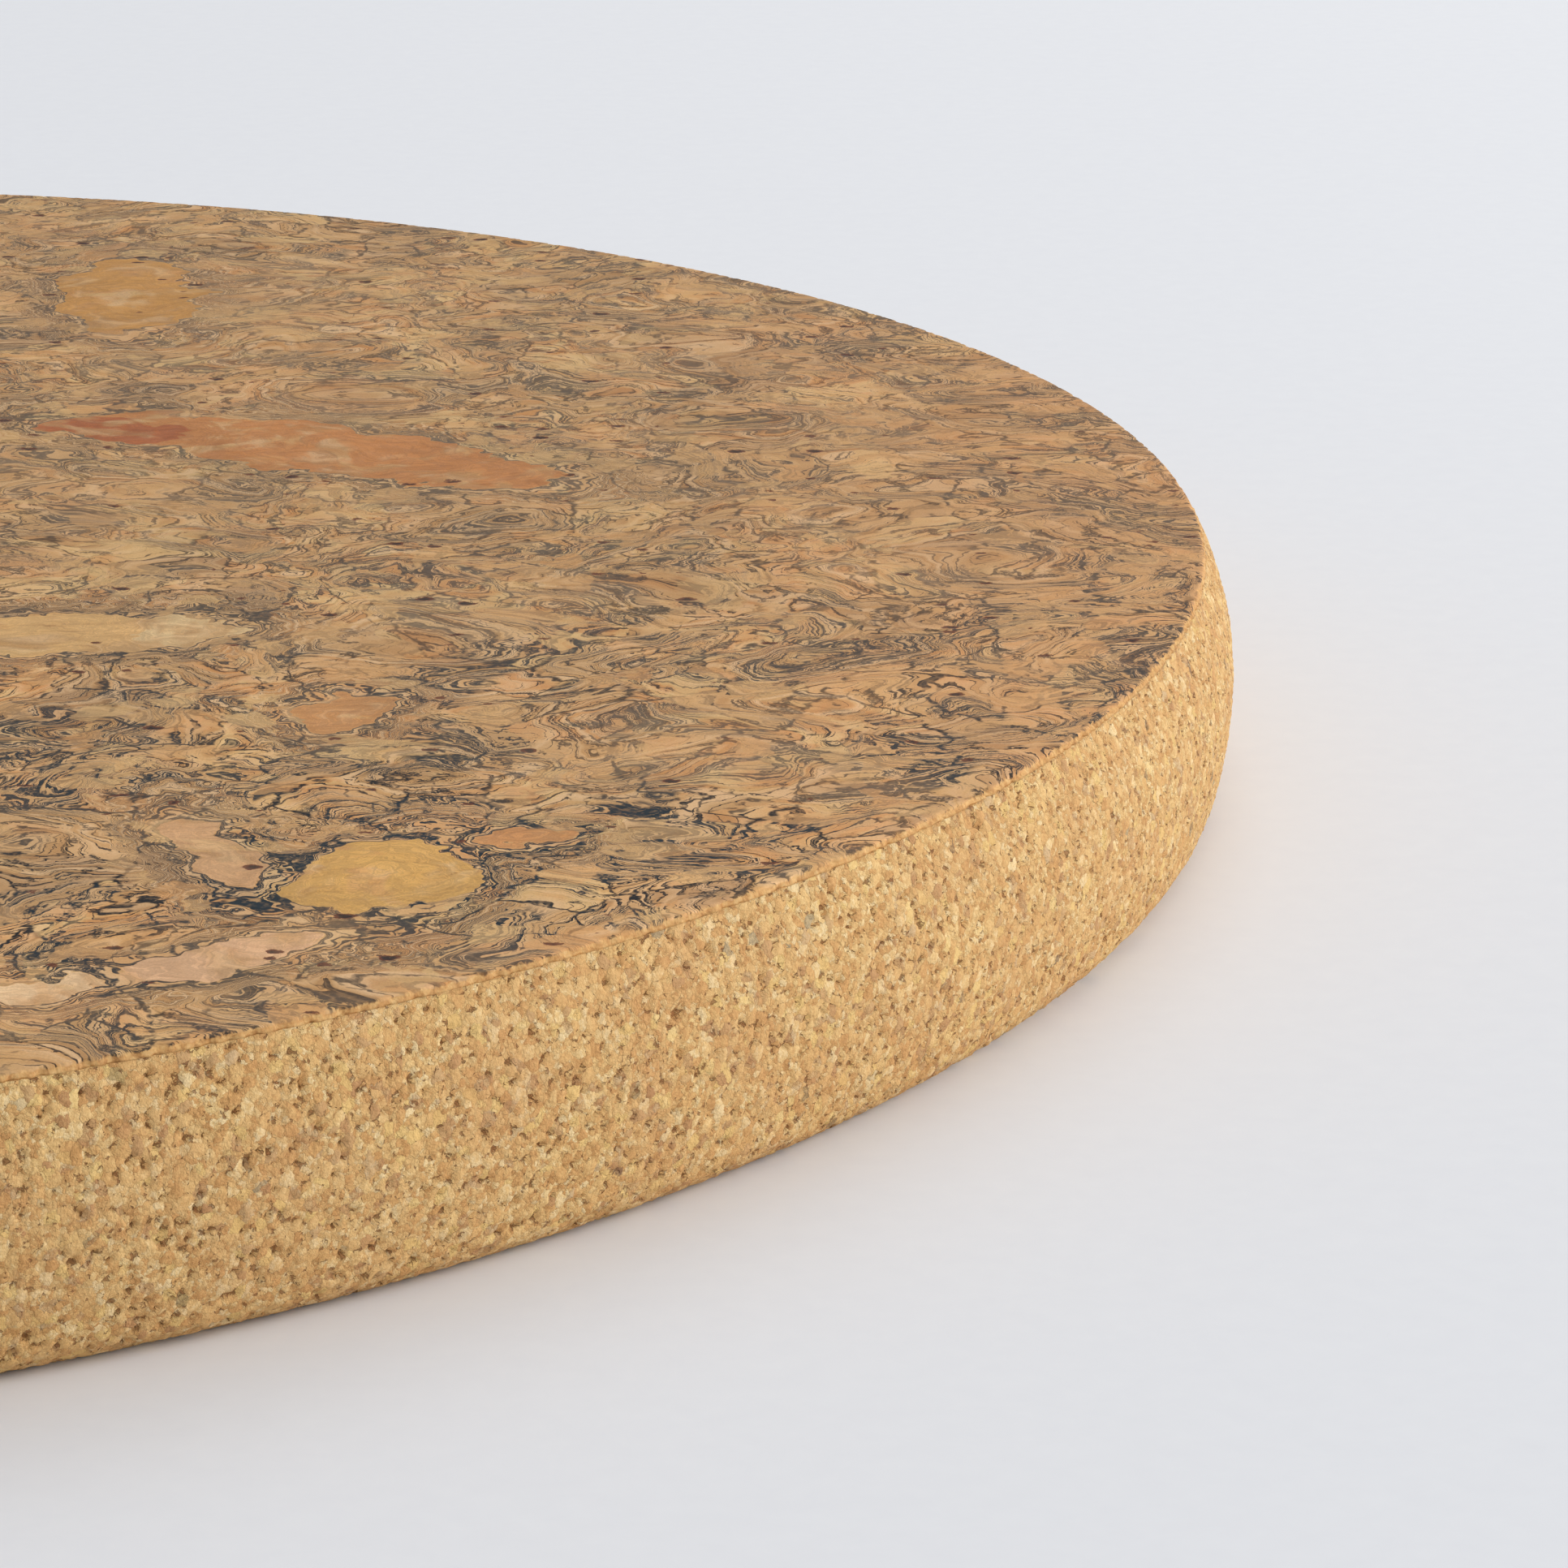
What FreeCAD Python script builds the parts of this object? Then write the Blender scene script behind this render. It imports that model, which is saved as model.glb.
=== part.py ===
import FreeCAD, Part
import math
import os
import Sketcher

# A round, frameless cork bulletin board.
#
# A thick disc of fine-grain agglomerated cork carries a thin marbled cork veneer on its face.
# Its edge is sanded to a gentle bulge. Two beech blocks are glued into pockets in the back, and
# each holds a steel keyhole plate, let in below the back so that the board also lies flat.
#
# Frame: the origin is the centre of the back, +Z runs through the board to its face and +Y is
# the top of the board when it hangs. Left and right are as seen from in front of the face.

doc = FreeCAD.newDocument("cork_bulletin_board")

# --- Driving dimensions, in millimetres ----------------------------------------------------

SIZES = [
    ("board_diameter", 304.8, "across the widest point of the edge"),
    ("core_thickness", 19.05, "agglomerated cork disc"),
    ("veneer_thickness", 0.5, "marbled cork sheet on the face"),
    ("edge_bulge", 2.7, "widest point, out past the face's rim"),
    ("belly_height", 9.5, "widest point, above the back"),
    ("lower_belly_radius", 25.0, "edge below its widest point"),
    ("back_edge_round", 3.5, "rounding between the edge and the back"),
    ("rim_ease", 0.2, "rounding of the veneer's rim"),
    ("hanger_spacing", 120.0, "between the two hangers"),
    ("hanger_height", 70.0, "hangers, above the board's centre"),
    ("block_margin", 4.0, "beech around the plate"),
    ("block_floor", 1.0, "beech left past the pilot holes"),
    ("block_corner", 4.0, "corner left in the pocket by its cutter"),
    ("glue_gap", 0.15, "around each block in its pocket"),
    ("plate_width", 16.0, "keyhole plate, across its slot"),
    ("plate_thickness", 2.0, "keyhole plate"),
    ("plate_setback", 0.3, "plate's outer face, below the board's back"),
    ("plate_gap", 0.2, "around each plate in its seat"),
    ("plate_end", 5.0, "screw's centre to the plate's end"),
    ("entry_diameter", 9.5, "keyhole's round end, for a wall screw's head"),
    ("slot_width", 4.8, "keyhole's narrow end, for its shank"),
    ("slot_travel", 9.0, "round end's centre to the shank's seat"),
    ("head_room", 0.8, "around a wall screw's head in the block"),
    ("head_depth", 6.0, "behind the plate, for a wall screw's head"),
    ("screw_pitch", 34.0, "between the two screws of one plate"),
    ("screw_length", 10.0, "plate screw, with its head"),
    ("screw_shank", 2.8, "plate screw's shank"),
    ("screw_head", 5.8, "plate screw's head"),
    ("screw_land", 0.2, "straight rim of the head"),
    ("screw_point", 2.6, "length of the pointed tip"),
    ("recess_span", 3.2, "cross recess, from tip to tip"),
    ("recess_width", 0.7, "one arm of the cross recess"),
    ("recess_depth", 1.1, "cross recess"),
    ("shank_gap", 0.2, "around the shank in the plate"),
    ("head_sink", 0.1, "head, below the plate's outer face"),
    ("pilot_spare", 0.6, "pilot hole, past the screw's tip"),
]

dims = doc.addObject("Spreadsheet::Sheet", "dims")
for row, (name, value, note) in enumerate(SIZES, start=1):
    dims.set(f"A{row}", name)
    dims.set(f"B{row}", str(value))
    dims.set(f"C{row}", note)
    dims.setAlias(f"B{row}", name)
doc.recompute()

# Sizes that follow from the driving ones, as formulas of the sheet's cells.
WIDEST_RADIUS = "(dims.board_diameter / 2)"
BOARD_THICKNESS = "(dims.core_thickness + dims.veneer_thickness)"
UPPER_BELLY_RADIUS = (
    f"((({BOARD_THICKNESS} - dims.belly_height) ^ 2 + dims.edge_bulge ^ 2) / (2 * dims.edge_bulge))"
)
PLATE_LENGTH = "(dims.screw_pitch + 2 * dims.plate_end)"
SEAT_DEPTH = "(dims.plate_setback + dims.plate_thickness)"
HOLLOW_WIDTH = "(dims.entry_diameter + 2 * dims.head_room)"
HEAD_FACE = "(dims.plate_setback + dims.head_sink)"
PILOT_DEPTH = f"({HEAD_FACE} + dims.screw_length + dims.pilot_spare)"
BLOCK_LENGTH = f"({PLATE_LENGTH} + 2 * dims.block_margin)"
BLOCK_WIDTH = "(dims.plate_width + 2 * dims.block_margin)"
BLOCK_DEPTH = f"({PILOT_DEPTH} + dims.block_floor)"


def size(formula):
    """The value of a formula of the sheet's cells."""
    return float(dims.evalExpression(formula))


# --- Sketches and features -----------------------------------------------------------------

START, END, CENTRE = 1, 2, 3
ORIGIN_POINT = (-1, 1)
UPRIGHT_AXIS = -2


def new_body(name):
    body = doc.addObject("PartDesign::Body", name)
    body.Label = name
    return body


def origin_plane(body, role):
    return next(item for item in body.Origin.OriginFeatures if item.Role == role)


def new_sketch(body, name, plane="XY_Plane"):
    sketch = body.newObject("Sketcher::SketchObject", name)
    sketch.AttachmentSupport = [(origin_plane(body, plane), "")]
    sketch.MapMode = "FlatFace"
    return sketch


def spot(x, y):
    return FreeCAD.Vector(x, y, 0)


def draw_line(sketch, start, end):
    return sketch.addGeometry(Part.LineSegment(spot(*start), spot(*end)))


def draw_arc(sketch, centre, radius, start_angle, end_angle):
    circle = Part.Circle(spot(*centre), FreeCAD.Vector(0, 0, 1), radius)
    return sketch.addGeometry(Part.ArcOfCircle(circle, start_angle, end_angle))


def rule(sketch, kind, *where):
    """A constraint with no size, such as Tangent or Horizontal."""
    sketch.addConstraint(Sketcher.Constraint(kind, *where))


def measure(sketch, formula, kind, *where):
    """A constraint whose size follows the sheet."""
    index = sketch.addConstraint(Sketcher.Constraint(kind, *where, size(formula)))
    sketch.setExpression(f"Constraints[{index}]", formula)


def draw_obround(sketch, between_centres, width):
    """A slot with round ends along Y, centred on the origin."""
    radius = size(width) / 2
    reach = size(between_centres) / 2
    top = draw_arc(sketch, (0, reach), radius, 0, math.pi)
    left = draw_line(sketch, (-radius, reach), (-radius, -reach))
    bottom = draw_arc(sketch, (0, -reach), radius, math.pi, 2 * math.pi)
    right = draw_line(sketch, (radius, -reach), (radius, reach))
    ring = [top, left, bottom, right]
    for here, after in zip(ring, ring[1:] + ring[:1]):
        rule(sketch, "Tangent", here, END, after, START)
    rule(sketch, "Symmetric", top, CENTRE, bottom, CENTRE, *ORIGIN_POINT)
    rule(sketch, "PointOnObject", top, CENTRE, UPRIGHT_AXIS)
    measure(sketch, f"{width} / 2", "Radius", top)
    measure(sketch, between_centres, "DistanceY", bottom, CENTRE, top, CENTRE)


def draw_rounded_rectangle(sketch, length, width, corner, centre_x="0", centre_y="0"):
    """A rectangle with round corners, its length along Y."""
    radius = size(corner)
    reach_x = size(width) / 2 - radius
    reach_y = size(length) / 2 - radius
    corners = []
    for quarter, (way_x, way_y) in enumerate([(1, 1), (-1, 1), (-1, -1), (1, -1)]):
        centre = (size(centre_x) + way_x * reach_x, size(centre_y) + way_y * reach_y)
        turn = quarter * math.pi / 2
        corners.append(draw_arc(sketch, centre, radius, turn, turn + math.pi / 2))
    for quarter, here in enumerate(corners):
        after = corners[(quarter + 1) % 4]
        first = sketch.getPoint(here, END)
        last = sketch.getPoint(after, START)
        side = draw_line(sketch, (first.x, first.y), (last.x, last.y))
        rule(sketch, "Tangent", here, END, side, START)
        rule(sketch, "Tangent", side, END, after, START)
        rule(sketch, "Vertical" if quarter % 2 else "Horizontal", side)
    for after in corners[1:]:
        rule(sketch, "Equal", corners[0], after)
    measure(sketch, corner, "Radius", corners[0])
    measure(sketch, f"{width} - 2 * {corner}", "DistanceX", corners[1], CENTRE, corners[0], CENTRE)
    measure(sketch, f"{length} - 2 * {corner}", "DistanceY", corners[3], CENTRE, corners[0], CENTRE)
    reach = f"{centre_x} + {width} / 2 - {corner}"
    measure(sketch, reach, "DistanceX", *ORIGIN_POINT, corners[0], CENTRE)
    reach = f"{centre_y} + {length} / 2 - {corner}"
    measure(sketch, reach, "DistanceY", *ORIGIN_POINT, corners[0], CENTRE)


def draw_screw_holes(sketch, diameter):
    """Two circles, one screw pitch apart along Y."""
    reach = size("dims.screw_pitch") / 2
    holes = []
    for height in (reach, -reach):
        circle = Part.Circle(spot(0, height), FreeCAD.Vector(0, 0, 1), size(diameter) / 2)
        holes.append(sketch.addGeometry(circle))
    upper, lower = holes
    rule(sketch, "Symmetric", upper, CENTRE, lower, CENTRE, *ORIGIN_POINT)
    rule(sketch, "PointOnObject", upper, CENTRE, UPRIGHT_AXIS)
    rule(sketch, "Equal", upper, lower)
    measure(sketch, f"{diameter} / 2", "Radius", upper)
    measure(sketch, "dims.screw_pitch", "DistanceY", lower, CENTRE, upper, CENTRE)


def draw_profile(sketch, corners):
    """A closed outline of straight lines; each corner is a pair of formulas, x then y."""
    places = [(size(x), size(y)) for x, y in corners]
    sides = []
    for place, after in zip(places, places[1:] + places[:1]):
        sides.append(draw_line(sketch, place, after))
    for side, after in zip(sides, sides[1:] + sides[:1]):
        rule(sketch, "Coincident", side, END, after, START)
    for side, (x, y) in zip(sides, corners):
        for formula, kind, axis in ((x, "DistanceX", UPRIGHT_AXIS), (y, "DistanceY", -1)):
            if formula == "0":
                rule(sketch, "PointOnObject", side, START, axis)
            else:
                measure(sketch, formula, kind, *ORIGIN_POINT, side, START)


def revolve(body, sketch, name):
    """Turn a profile once round its sketch's upright axis, which is the body's Z."""
    feature = body.newObject("PartDesign::Revolution", name)
    feature.Profile = sketch
    feature.ReferenceAxis = (sketch, ["V_Axis"])
    feature.Angle = 360
    return feature


def pad(body, sketch, name, depth):
    feature = body.newObject("PartDesign::Pad", name)
    feature.Profile = sketch
    feature.setExpression("Length", depth)
    return feature


def pocket(body, sketch, name, depth):
    """Cut upwards from the sketch, into the body."""
    feature = body.newObject("PartDesign::Pocket", name)
    feature.Profile = sketch
    feature.Reversed = True
    feature.setExpression("Length", depth)
    return feature


def place(body, x, y, z):
    body.setExpression("Placement.Base.x", x)
    body.setExpression("Placement.Base.y", y)
    body.setExpression("Placement.Base.z", z)


# --- Core: agglomerated cork disc ----------------------------------------------------------


def make_core_disc():
    """A disc turned to a bulging edge, with a pocket in its back for each hanger's block."""
    body = new_body("core_disc")
    widest = size(WIDEST_RADIUS)
    belly = size("dims.belly_height")
    lower = size("dims.lower_belly_radius")
    upper = size(UPPER_BELLY_RADIUS)
    rounding = size("dims.back_edge_round")
    thickness = size("dims.core_thickness")

    # The rounding at the back touches the lower belly from inside, which sets its centre.
    inward = math.sqrt((lower - rounding) ** 2 - (belly - rounding) ** 2)
    foot = widest - lower + inward
    meeting = math.atan2(rounding - belly, inward)
    lift = math.asin((thickness - belly) / upper)
    shoulder = widest - upper + upper * math.cos(lift)

    outline = new_sketch(body, "core_outline", "XZ_Plane")
    back = draw_line(outline, (0, 0), (foot, 0))
    back_round = draw_arc(outline, (foot, rounding), rounding, -math.pi / 2, meeting)
    lower_belly = draw_arc(outline, (widest - lower, belly), lower, meeting, 0)
    upper_belly = draw_arc(outline, (widest - upper, belly), upper, 0, lift)
    top = draw_line(outline, (shoulder, thickness), (0, thickness))
    axis = draw_line(outline, (0, thickness), (0, 0))

    rule(outline, "Tangent", back, END, back_round, START)
    rule(outline, "Tangent", back_round, END, lower_belly, START)
    rule(outline, "Tangent", lower_belly, END, upper_belly, START)
    rule(outline, "Coincident", upper_belly, END, top, START)
    rule(outline, "Coincident", top, END, axis, START)
    rule(outline, "Coincident", axis, END, back, START)
    rule(outline, "Coincident", back, START, *ORIGIN_POINT)
    rule(outline, "Horizontal", back)
    rule(outline, "Horizontal", top)
    rule(outline, "Vertical", axis)
    rule(outline, "Horizontal", lower_belly, CENTRE, lower_belly, END)
    measure(outline, "dims.core_thickness", "DistanceY", axis, END, axis, START)
    measure(outline, "dims.back_edge_round", "Radius", back_round)
    measure(outline, "dims.lower_belly_radius", "Radius", lower_belly)
    measure(outline, UPPER_BELLY_RADIUS, "Radius", upper_belly)
    measure(outline, WIDEST_RADIUS, "DistanceX", *ORIGIN_POINT, lower_belly, END)
    measure(outline, "dims.belly_height", "DistanceY", *ORIGIN_POINT, lower_belly, END)
    revolve(body, outline, "turned_disc")

    mouth = new_sketch(body, "hanger_pocket_outline")
    draw_rounded_rectangle(
        mouth,
        f"({BLOCK_LENGTH} + 2 * dims.glue_gap)",
        f"({BLOCK_WIDTH} + 2 * dims.glue_gap)",
        "(dims.block_corner + dims.glue_gap)",
        "dims.hanger_spacing / 2",
        "dims.hanger_height",
    )
    right_pocket = pocket(body, mouth, "hanger_pocket", BLOCK_DEPTH)
    both_pockets = body.newObject("PartDesign::Mirrored", "both_hanger_pockets")
    both_pockets.Originals = [right_pocket]
    both_pockets.MirrorPlane = (origin_plane(body, "YZ_Plane"), [""])
    body.Tip = both_pockets
    return body


# --- Face: marbled cork veneer -------------------------------------------------------------


def make_face_veneer():
    """A thin round sheet whose edge carries on the core's upper belly, its rim just eased."""
    body = new_body("face_veneer")
    belly = size("dims.belly_height")
    upper = size(UPPER_BELLY_RADIUS)
    underside = size("dims.core_thickness")
    face = size(BOARD_THICKNESS)
    centre = size(WIDEST_RADIUS) - upper
    low = math.asin((underside - belly) / upper)
    high = math.asin((face - belly) / upper)

    outline = new_sketch(body, "veneer_outline", "XZ_Plane")
    glued = draw_line(outline, (0, underside), (centre + upper * math.cos(low), underside))
    edge = draw_arc(outline, (centre, belly), upper, low, high)
    shown = draw_line(outline, (centre + upper * math.cos(high), face), (0, face))
    axis = draw_line(outline, (0, face), (0, underside))
    ring = [glued, edge, shown, axis]
    for here, after in zip(ring, ring[1:] + ring[:1]):
        rule(outline, "Coincident", here, END, after, START)
    rule(outline, "PointOnObject", glued, START, UPRIGHT_AXIS)
    rule(outline, "Horizontal", glued)
    rule(outline, "Horizontal", shown)
    rule(outline, "Vertical", axis)
    measure(outline, "dims.core_thickness", "DistanceY", *ORIGIN_POINT, glued, START)
    measure(outline, "dims.veneer_thickness", "DistanceY", axis, END, axis, START)
    measure(outline, UPPER_BELLY_RADIUS, "Radius", edge)
    measure(outline, f"{WIDEST_RADIUS} - {UPPER_BELLY_RADIUS}", "DistanceX", *ORIGIN_POINT, edge, CENTRE)
    measure(outline, "dims.belly_height", "DistanceY", *ORIGIN_POINT, edge, CENTRE)
    sheet = revolve(body, outline, "veneer_sheet")
    doc.recompute()

    rims = []
    for index, side in enumerate(sheet.Shape.Edges, start=1):
        lowest = side.BoundBox.ZMin
        if abs(lowest - face) < 1e-6 and side.BoundBox.XLength > face:
            rims.append(f"Edge{index}")
    eased = body.newObject("PartDesign::Fillet", "eased_rim")
    eased.Base = (sheet, rims)
    eased.setExpression("Radius", "dims.rim_ease")
    return body


# --- Hangers: beech block, keyhole plate and its screws ------------------------------------


def make_hanger_block(name):
    """A beech block with a seat for the plate, a hollow for a screw's head and pilot holes."""
    body = new_body(name)
    outline = new_sketch(body, f"{name}_outline")
    draw_rounded_rectangle(outline, BLOCK_LENGTH, BLOCK_WIDTH, "dims.block_corner")
    pad(body, outline, f"{name}_blank", BLOCK_DEPTH)

    seat = new_sketch(body, f"{name}_seat_outline")
    draw_obround(
        seat,
        f"({PLATE_LENGTH} - dims.plate_width)",
        "(dims.plate_width + 2 * dims.plate_gap)",
    )
    pocket(body, seat, f"{name}_seat", SEAT_DEPTH)

    hollow = new_sketch(body, f"{name}_hollow_outline")
    draw_obround(hollow, "dims.slot_travel", HOLLOW_WIDTH)
    pocket(body, hollow, f"{name}_hollow", f"{SEAT_DEPTH} + dims.head_depth")

    pilots = new_sketch(body, f"{name}_pilot_outline")
    draw_screw_holes(pilots, "dims.screw_shank")
    pocket(body, pilots, f"{name}_pilots", PILOT_DEPTH)
    return body


def make_keyhole_plate(name):
    """A blanked steel plate: a keyhole in the middle, a countersunk hole at each end."""
    body = new_body(name)
    outline = new_sketch(body, f"{name}_outline")
    draw_obround(outline, f"({PLATE_LENGTH} - dims.plate_width)", "dims.plate_width")
    pad(body, outline, f"{name}_blank", "dims.plate_thickness")

    slot = new_sketch(body, f"{name}_slot_outline")
    draw_obround(slot, "dims.slot_travel", "dims.slot_width")
    pocket(body, slot, f"{name}_slot", "dims.plate_thickness")

    entry = new_sketch(body, f"{name}_entry_outline")
    lowered = size("dims.slot_travel") / 2
    radius = size("dims.entry_diameter") / 2
    circle = Part.Circle(spot(0, -lowered), FreeCAD.Vector(0, 0, 1), radius)
    ring = entry.addGeometry(circle)
    rule(entry, "PointOnObject", ring, CENTRE, UPRIGHT_AXIS)
    measure(entry, "dims.entry_diameter / 2", "Radius", ring)
    measure(entry, "dims.slot_travel / 2", "DistanceY", ring, CENTRE, *ORIGIN_POINT)
    pocket(body, entry, f"{name}_entry", "dims.plate_thickness")

    holes = new_sketch(body, f"{name}_screw_outline")
    draw_screw_holes(holes, "(dims.screw_shank + 2 * dims.shank_gap)")
    doc.recompute()
    sunk = body.newObject("PartDesign::Hole", f"{name}_screw_holes")
    sunk.Profile = holes
    sunk.Reversed = True
    sunk.DepthType = "ThroughAll"
    sunk.HoleCutType = "Countersink"
    sunk.HoleCutCountersinkAngle = 90
    sunk.setExpression("Diameter", "dims.screw_shank + 2 * dims.shank_gap")
    sunk.setExpression(
        "HoleCutDiameter", "dims.screw_head + 2 * (dims.head_sink + dims.screw_land)"
    )
    return body


def make_plate_screw(name):
    """A countersunk wood screw with a cross recess, point up, its head's face at the origin."""
    body = new_body(name)
    head = "(dims.screw_head / 2)"
    shank = "(dims.screw_shank / 2)"
    outline = new_sketch(body, f"{name}_outline", "XZ_Plane")
    draw_profile(
        outline,
        [
            ("0", "0"),
            (head, "0"),
            (head, "dims.screw_land"),
            (shank, f"dims.screw_land + {head} - {shank}"),
            (shank, "dims.screw_length - dims.screw_point"),
            ("0", "dims.screw_length"),
        ],
    )
    revolve(body, outline, f"{name}_blank")

    arm = new_sketch(body, f"{name}_recess_outline")
    reach_x = size("dims.recess_span") / 2
    reach_y = size("dims.recess_width") / 2
    places = [(-reach_x, -reach_y), (reach_x, -reach_y), (reach_x, reach_y), (-reach_x, reach_y)]
    sides = []
    for here, after in zip(places, places[1:] + places[:1]):
        sides.append(draw_line(arm, here, after))
    for here, after in zip(sides, sides[1:] + sides[:1]):
        rule(arm, "Coincident", here, END, after, START)
    for number, side in enumerate(sides):
        rule(arm, "Vertical" if number % 2 else "Horizontal", side)
    rule(arm, "Symmetric", sides[0], START, sides[2], START, *ORIGIN_POINT)
    measure(arm, "dims.recess_span", "DistanceX", sides[0], START, sides[0], END)
    measure(arm, "dims.recess_width", "DistanceY", sides[1], START, sides[1], END)
    slot = pocket(body, arm, f"{name}_recess_arm", "dims.recess_depth")
    cross = body.newObject("PartDesign::PolarPattern", f"{name}_recess")
    cross.Originals = [slot]
    cross.Axis = (arm, ["N_Axis"])
    cross.Angle = 90
    cross.Occurrences = 2
    body.Tip = cross
    return body


# --- Assembly ------------------------------------------------------------------------------

bodies = [make_core_disc(), make_face_veneer()]
for side, sign in (("left", "-1"), ("right", "1")):
    hanger_x = f"{sign} * dims.hanger_spacing / 2"

    block = make_hanger_block(f"hanger_block_{side}")
    place(block, hanger_x, "dims.hanger_height", "0")
    bodies.append(block)

    plate = make_keyhole_plate(f"keyhole_plate_{side}")
    place(plate, hanger_x, "dims.hanger_height", "dims.plate_setback")
    bodies.append(plate)

    for end, way in (("upper", "+"), ("lower", "-")):
        screw = make_plate_screw(f"plate_screw_{side}_{end}")
        place(screw, hanger_x, f"dims.hanger_height {way} dims.screw_pitch / 2", HEAD_FACE)
        bodies.append(screw)

doc.recompute()

# --- Checks and export ---------------------------------------------------------------------

for item in doc.Objects:
    faults = [word for word in item.State if word in ("Invalid", "Error")]
    if faults:
        raise RuntimeError(f"{item.Name} is {faults}")

os.makedirs("parts", exist_ok=True)
for body in bodies:
    shape = body.Shape
    if shape.isNull() or not shape.isValid():
        raise RuntimeError(f"{body.Label} has no valid shape")
    if len(shape.Solids) != 1:
        raise RuntimeError(f"{body.Label} has {len(shape.Solids)} solids")
    shape.exportStep(f"parts/{body.Label}.step")
    box = shape.BoundBox
    print(f"{body.Label}: {shape.Volume:.1f} mm3, {box.XLength:.2f} x {box.YLength:.2f} x {box.ZLength:.2f}")
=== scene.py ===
import math

import bmesh
import bpy
from mathutils import Matrix, Vector, noise
from mathutils.geometry import delaunay_2d_cdt


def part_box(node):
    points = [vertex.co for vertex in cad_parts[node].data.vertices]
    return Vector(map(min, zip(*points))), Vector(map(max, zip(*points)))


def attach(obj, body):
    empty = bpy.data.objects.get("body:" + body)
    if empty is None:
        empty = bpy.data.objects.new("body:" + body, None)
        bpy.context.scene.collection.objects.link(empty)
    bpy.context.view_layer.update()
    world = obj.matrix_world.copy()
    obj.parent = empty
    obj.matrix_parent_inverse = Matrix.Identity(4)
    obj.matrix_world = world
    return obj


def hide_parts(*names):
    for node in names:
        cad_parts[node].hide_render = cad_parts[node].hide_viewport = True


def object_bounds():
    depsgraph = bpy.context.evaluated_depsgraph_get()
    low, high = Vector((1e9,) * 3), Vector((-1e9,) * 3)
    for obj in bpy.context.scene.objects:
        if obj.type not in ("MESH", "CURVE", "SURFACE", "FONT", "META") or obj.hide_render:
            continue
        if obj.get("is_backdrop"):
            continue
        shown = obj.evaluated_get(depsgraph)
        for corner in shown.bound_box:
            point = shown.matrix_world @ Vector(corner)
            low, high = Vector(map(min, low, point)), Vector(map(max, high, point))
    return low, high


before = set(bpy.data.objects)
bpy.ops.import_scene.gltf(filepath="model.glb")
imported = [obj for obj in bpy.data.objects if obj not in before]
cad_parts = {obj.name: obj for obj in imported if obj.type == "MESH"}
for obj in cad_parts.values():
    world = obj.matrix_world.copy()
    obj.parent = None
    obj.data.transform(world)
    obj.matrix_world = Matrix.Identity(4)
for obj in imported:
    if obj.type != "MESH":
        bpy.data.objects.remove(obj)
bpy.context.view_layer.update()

# --- The core disc ---------------------------------------------------------------------------
# Cork granules pressed with a clear binder into a block, sliced to a thick sheet and cut to a
# disc. The edge is sanded to a gentle bulge, which cuts through the granules and tears some
# out, and two pockets for the hanger blocks are milled in the back.

MM = 0.001

BELLY_RADIUS = 152.4
BELLY_HEIGHT = 9.5
LOWER_BELLY = 25.0
BACK_ROUND = 3.5
RIM_RADIUS = 149.7
CORE_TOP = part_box("core_disc")[1].z / MM
FACE_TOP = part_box("face_veneer")[1].z / MM
UPPER_BELLY = ((FACE_TOP - BELLY_HEIGHT) ** 2 + (BELLY_RADIUS - RIM_RADIUS) ** 2) / (
    2 * (BELLY_RADIUS - RIM_RADIUS)
)
EDGE_COLUMNS = 3000
EDGE_STEP = 0.33
BACK_STEP = 1.25
LYING_EDGE = 0.9
POCKET_GAP = 0.15
POCKET_CORNER = 4.15
HANGERS = ("left", "right")
scene = bpy.context.scene


def arc(centre, radius, start, end, step):
    """Points (out, up) along an arc, about a step apart, both ends included."""
    count = max(1, round(abs(end - start) * radius / step))
    angles = [start + (end - start) * i / count for i in range(count + 1)]
    return [(centre[0] + radius * math.cos(a), centre[1] + radius * math.sin(a)) for a in angles]


def upper_edge_angle(height):
    """Where the bulge above the belly reaches a height."""
    return math.asin((height - BELLY_HEIGHT) / UPPER_BELLY)


def edge_profile():
    """The core's edge from the flat of the back, round the belly and up to the veneer."""
    belly_centre = (BELLY_RADIUS - LOWER_BELLY, BELLY_HEIGHT)
    drop = (BELLY_HEIGHT - BACK_ROUND) / (LOWER_BELLY - BACK_ROUND)
    meet = -math.asin(drop)
    round_centre = (belly_centre[0] + (LOWER_BELLY - BACK_ROUND) * math.cos(meet), BACK_ROUND)
    upper_centre = (BELLY_RADIUS - UPPER_BELLY, BELLY_HEIGHT)
    top = upper_edge_angle(CORE_TOP)
    return (
        arc(round_centre, BACK_ROUND, -math.pi / 2, meet, EDGE_STEP)
        + arc(belly_centre, LOWER_BELLY, meet, 0, EDGE_STEP)[1:]
        + arc(upper_centre, UPPER_BELLY, 0, top, EDGE_STEP)[1:]
    )


def ring(radius, count, turn=0.0):
    """Evenly spaced points on a circle. turn shifts them by a share of their spacing."""
    angles = [2 * math.pi * (i + turn) / count for i in range(count)]
    return [(radius * math.cos(a), radius * math.sin(a)) for a in angles]


def thinning_rings(radius, rings):
    """Rings of points inside a circle, from (distance in, count, turn)."""
    return [spot for inset, count, turn in rings for spot in ring(radius - inset, count, turn)]


def hex_spots(radius, step):
    """An even triangular grid of points inside a circle."""
    rows = int(radius / (step * 0.866)) + 1
    spots = []
    for row in range(-rows, rows + 1):
        y = row * step * 0.866
        reach = radius ** 2 - y ** 2
        if reach > 0:
            across = int(math.sqrt(reach) / step)
            shift = 0.5 * (row % 2)
            spots += [((i + shift) * step, y) for i in range(-across, across)]
    return spots


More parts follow.
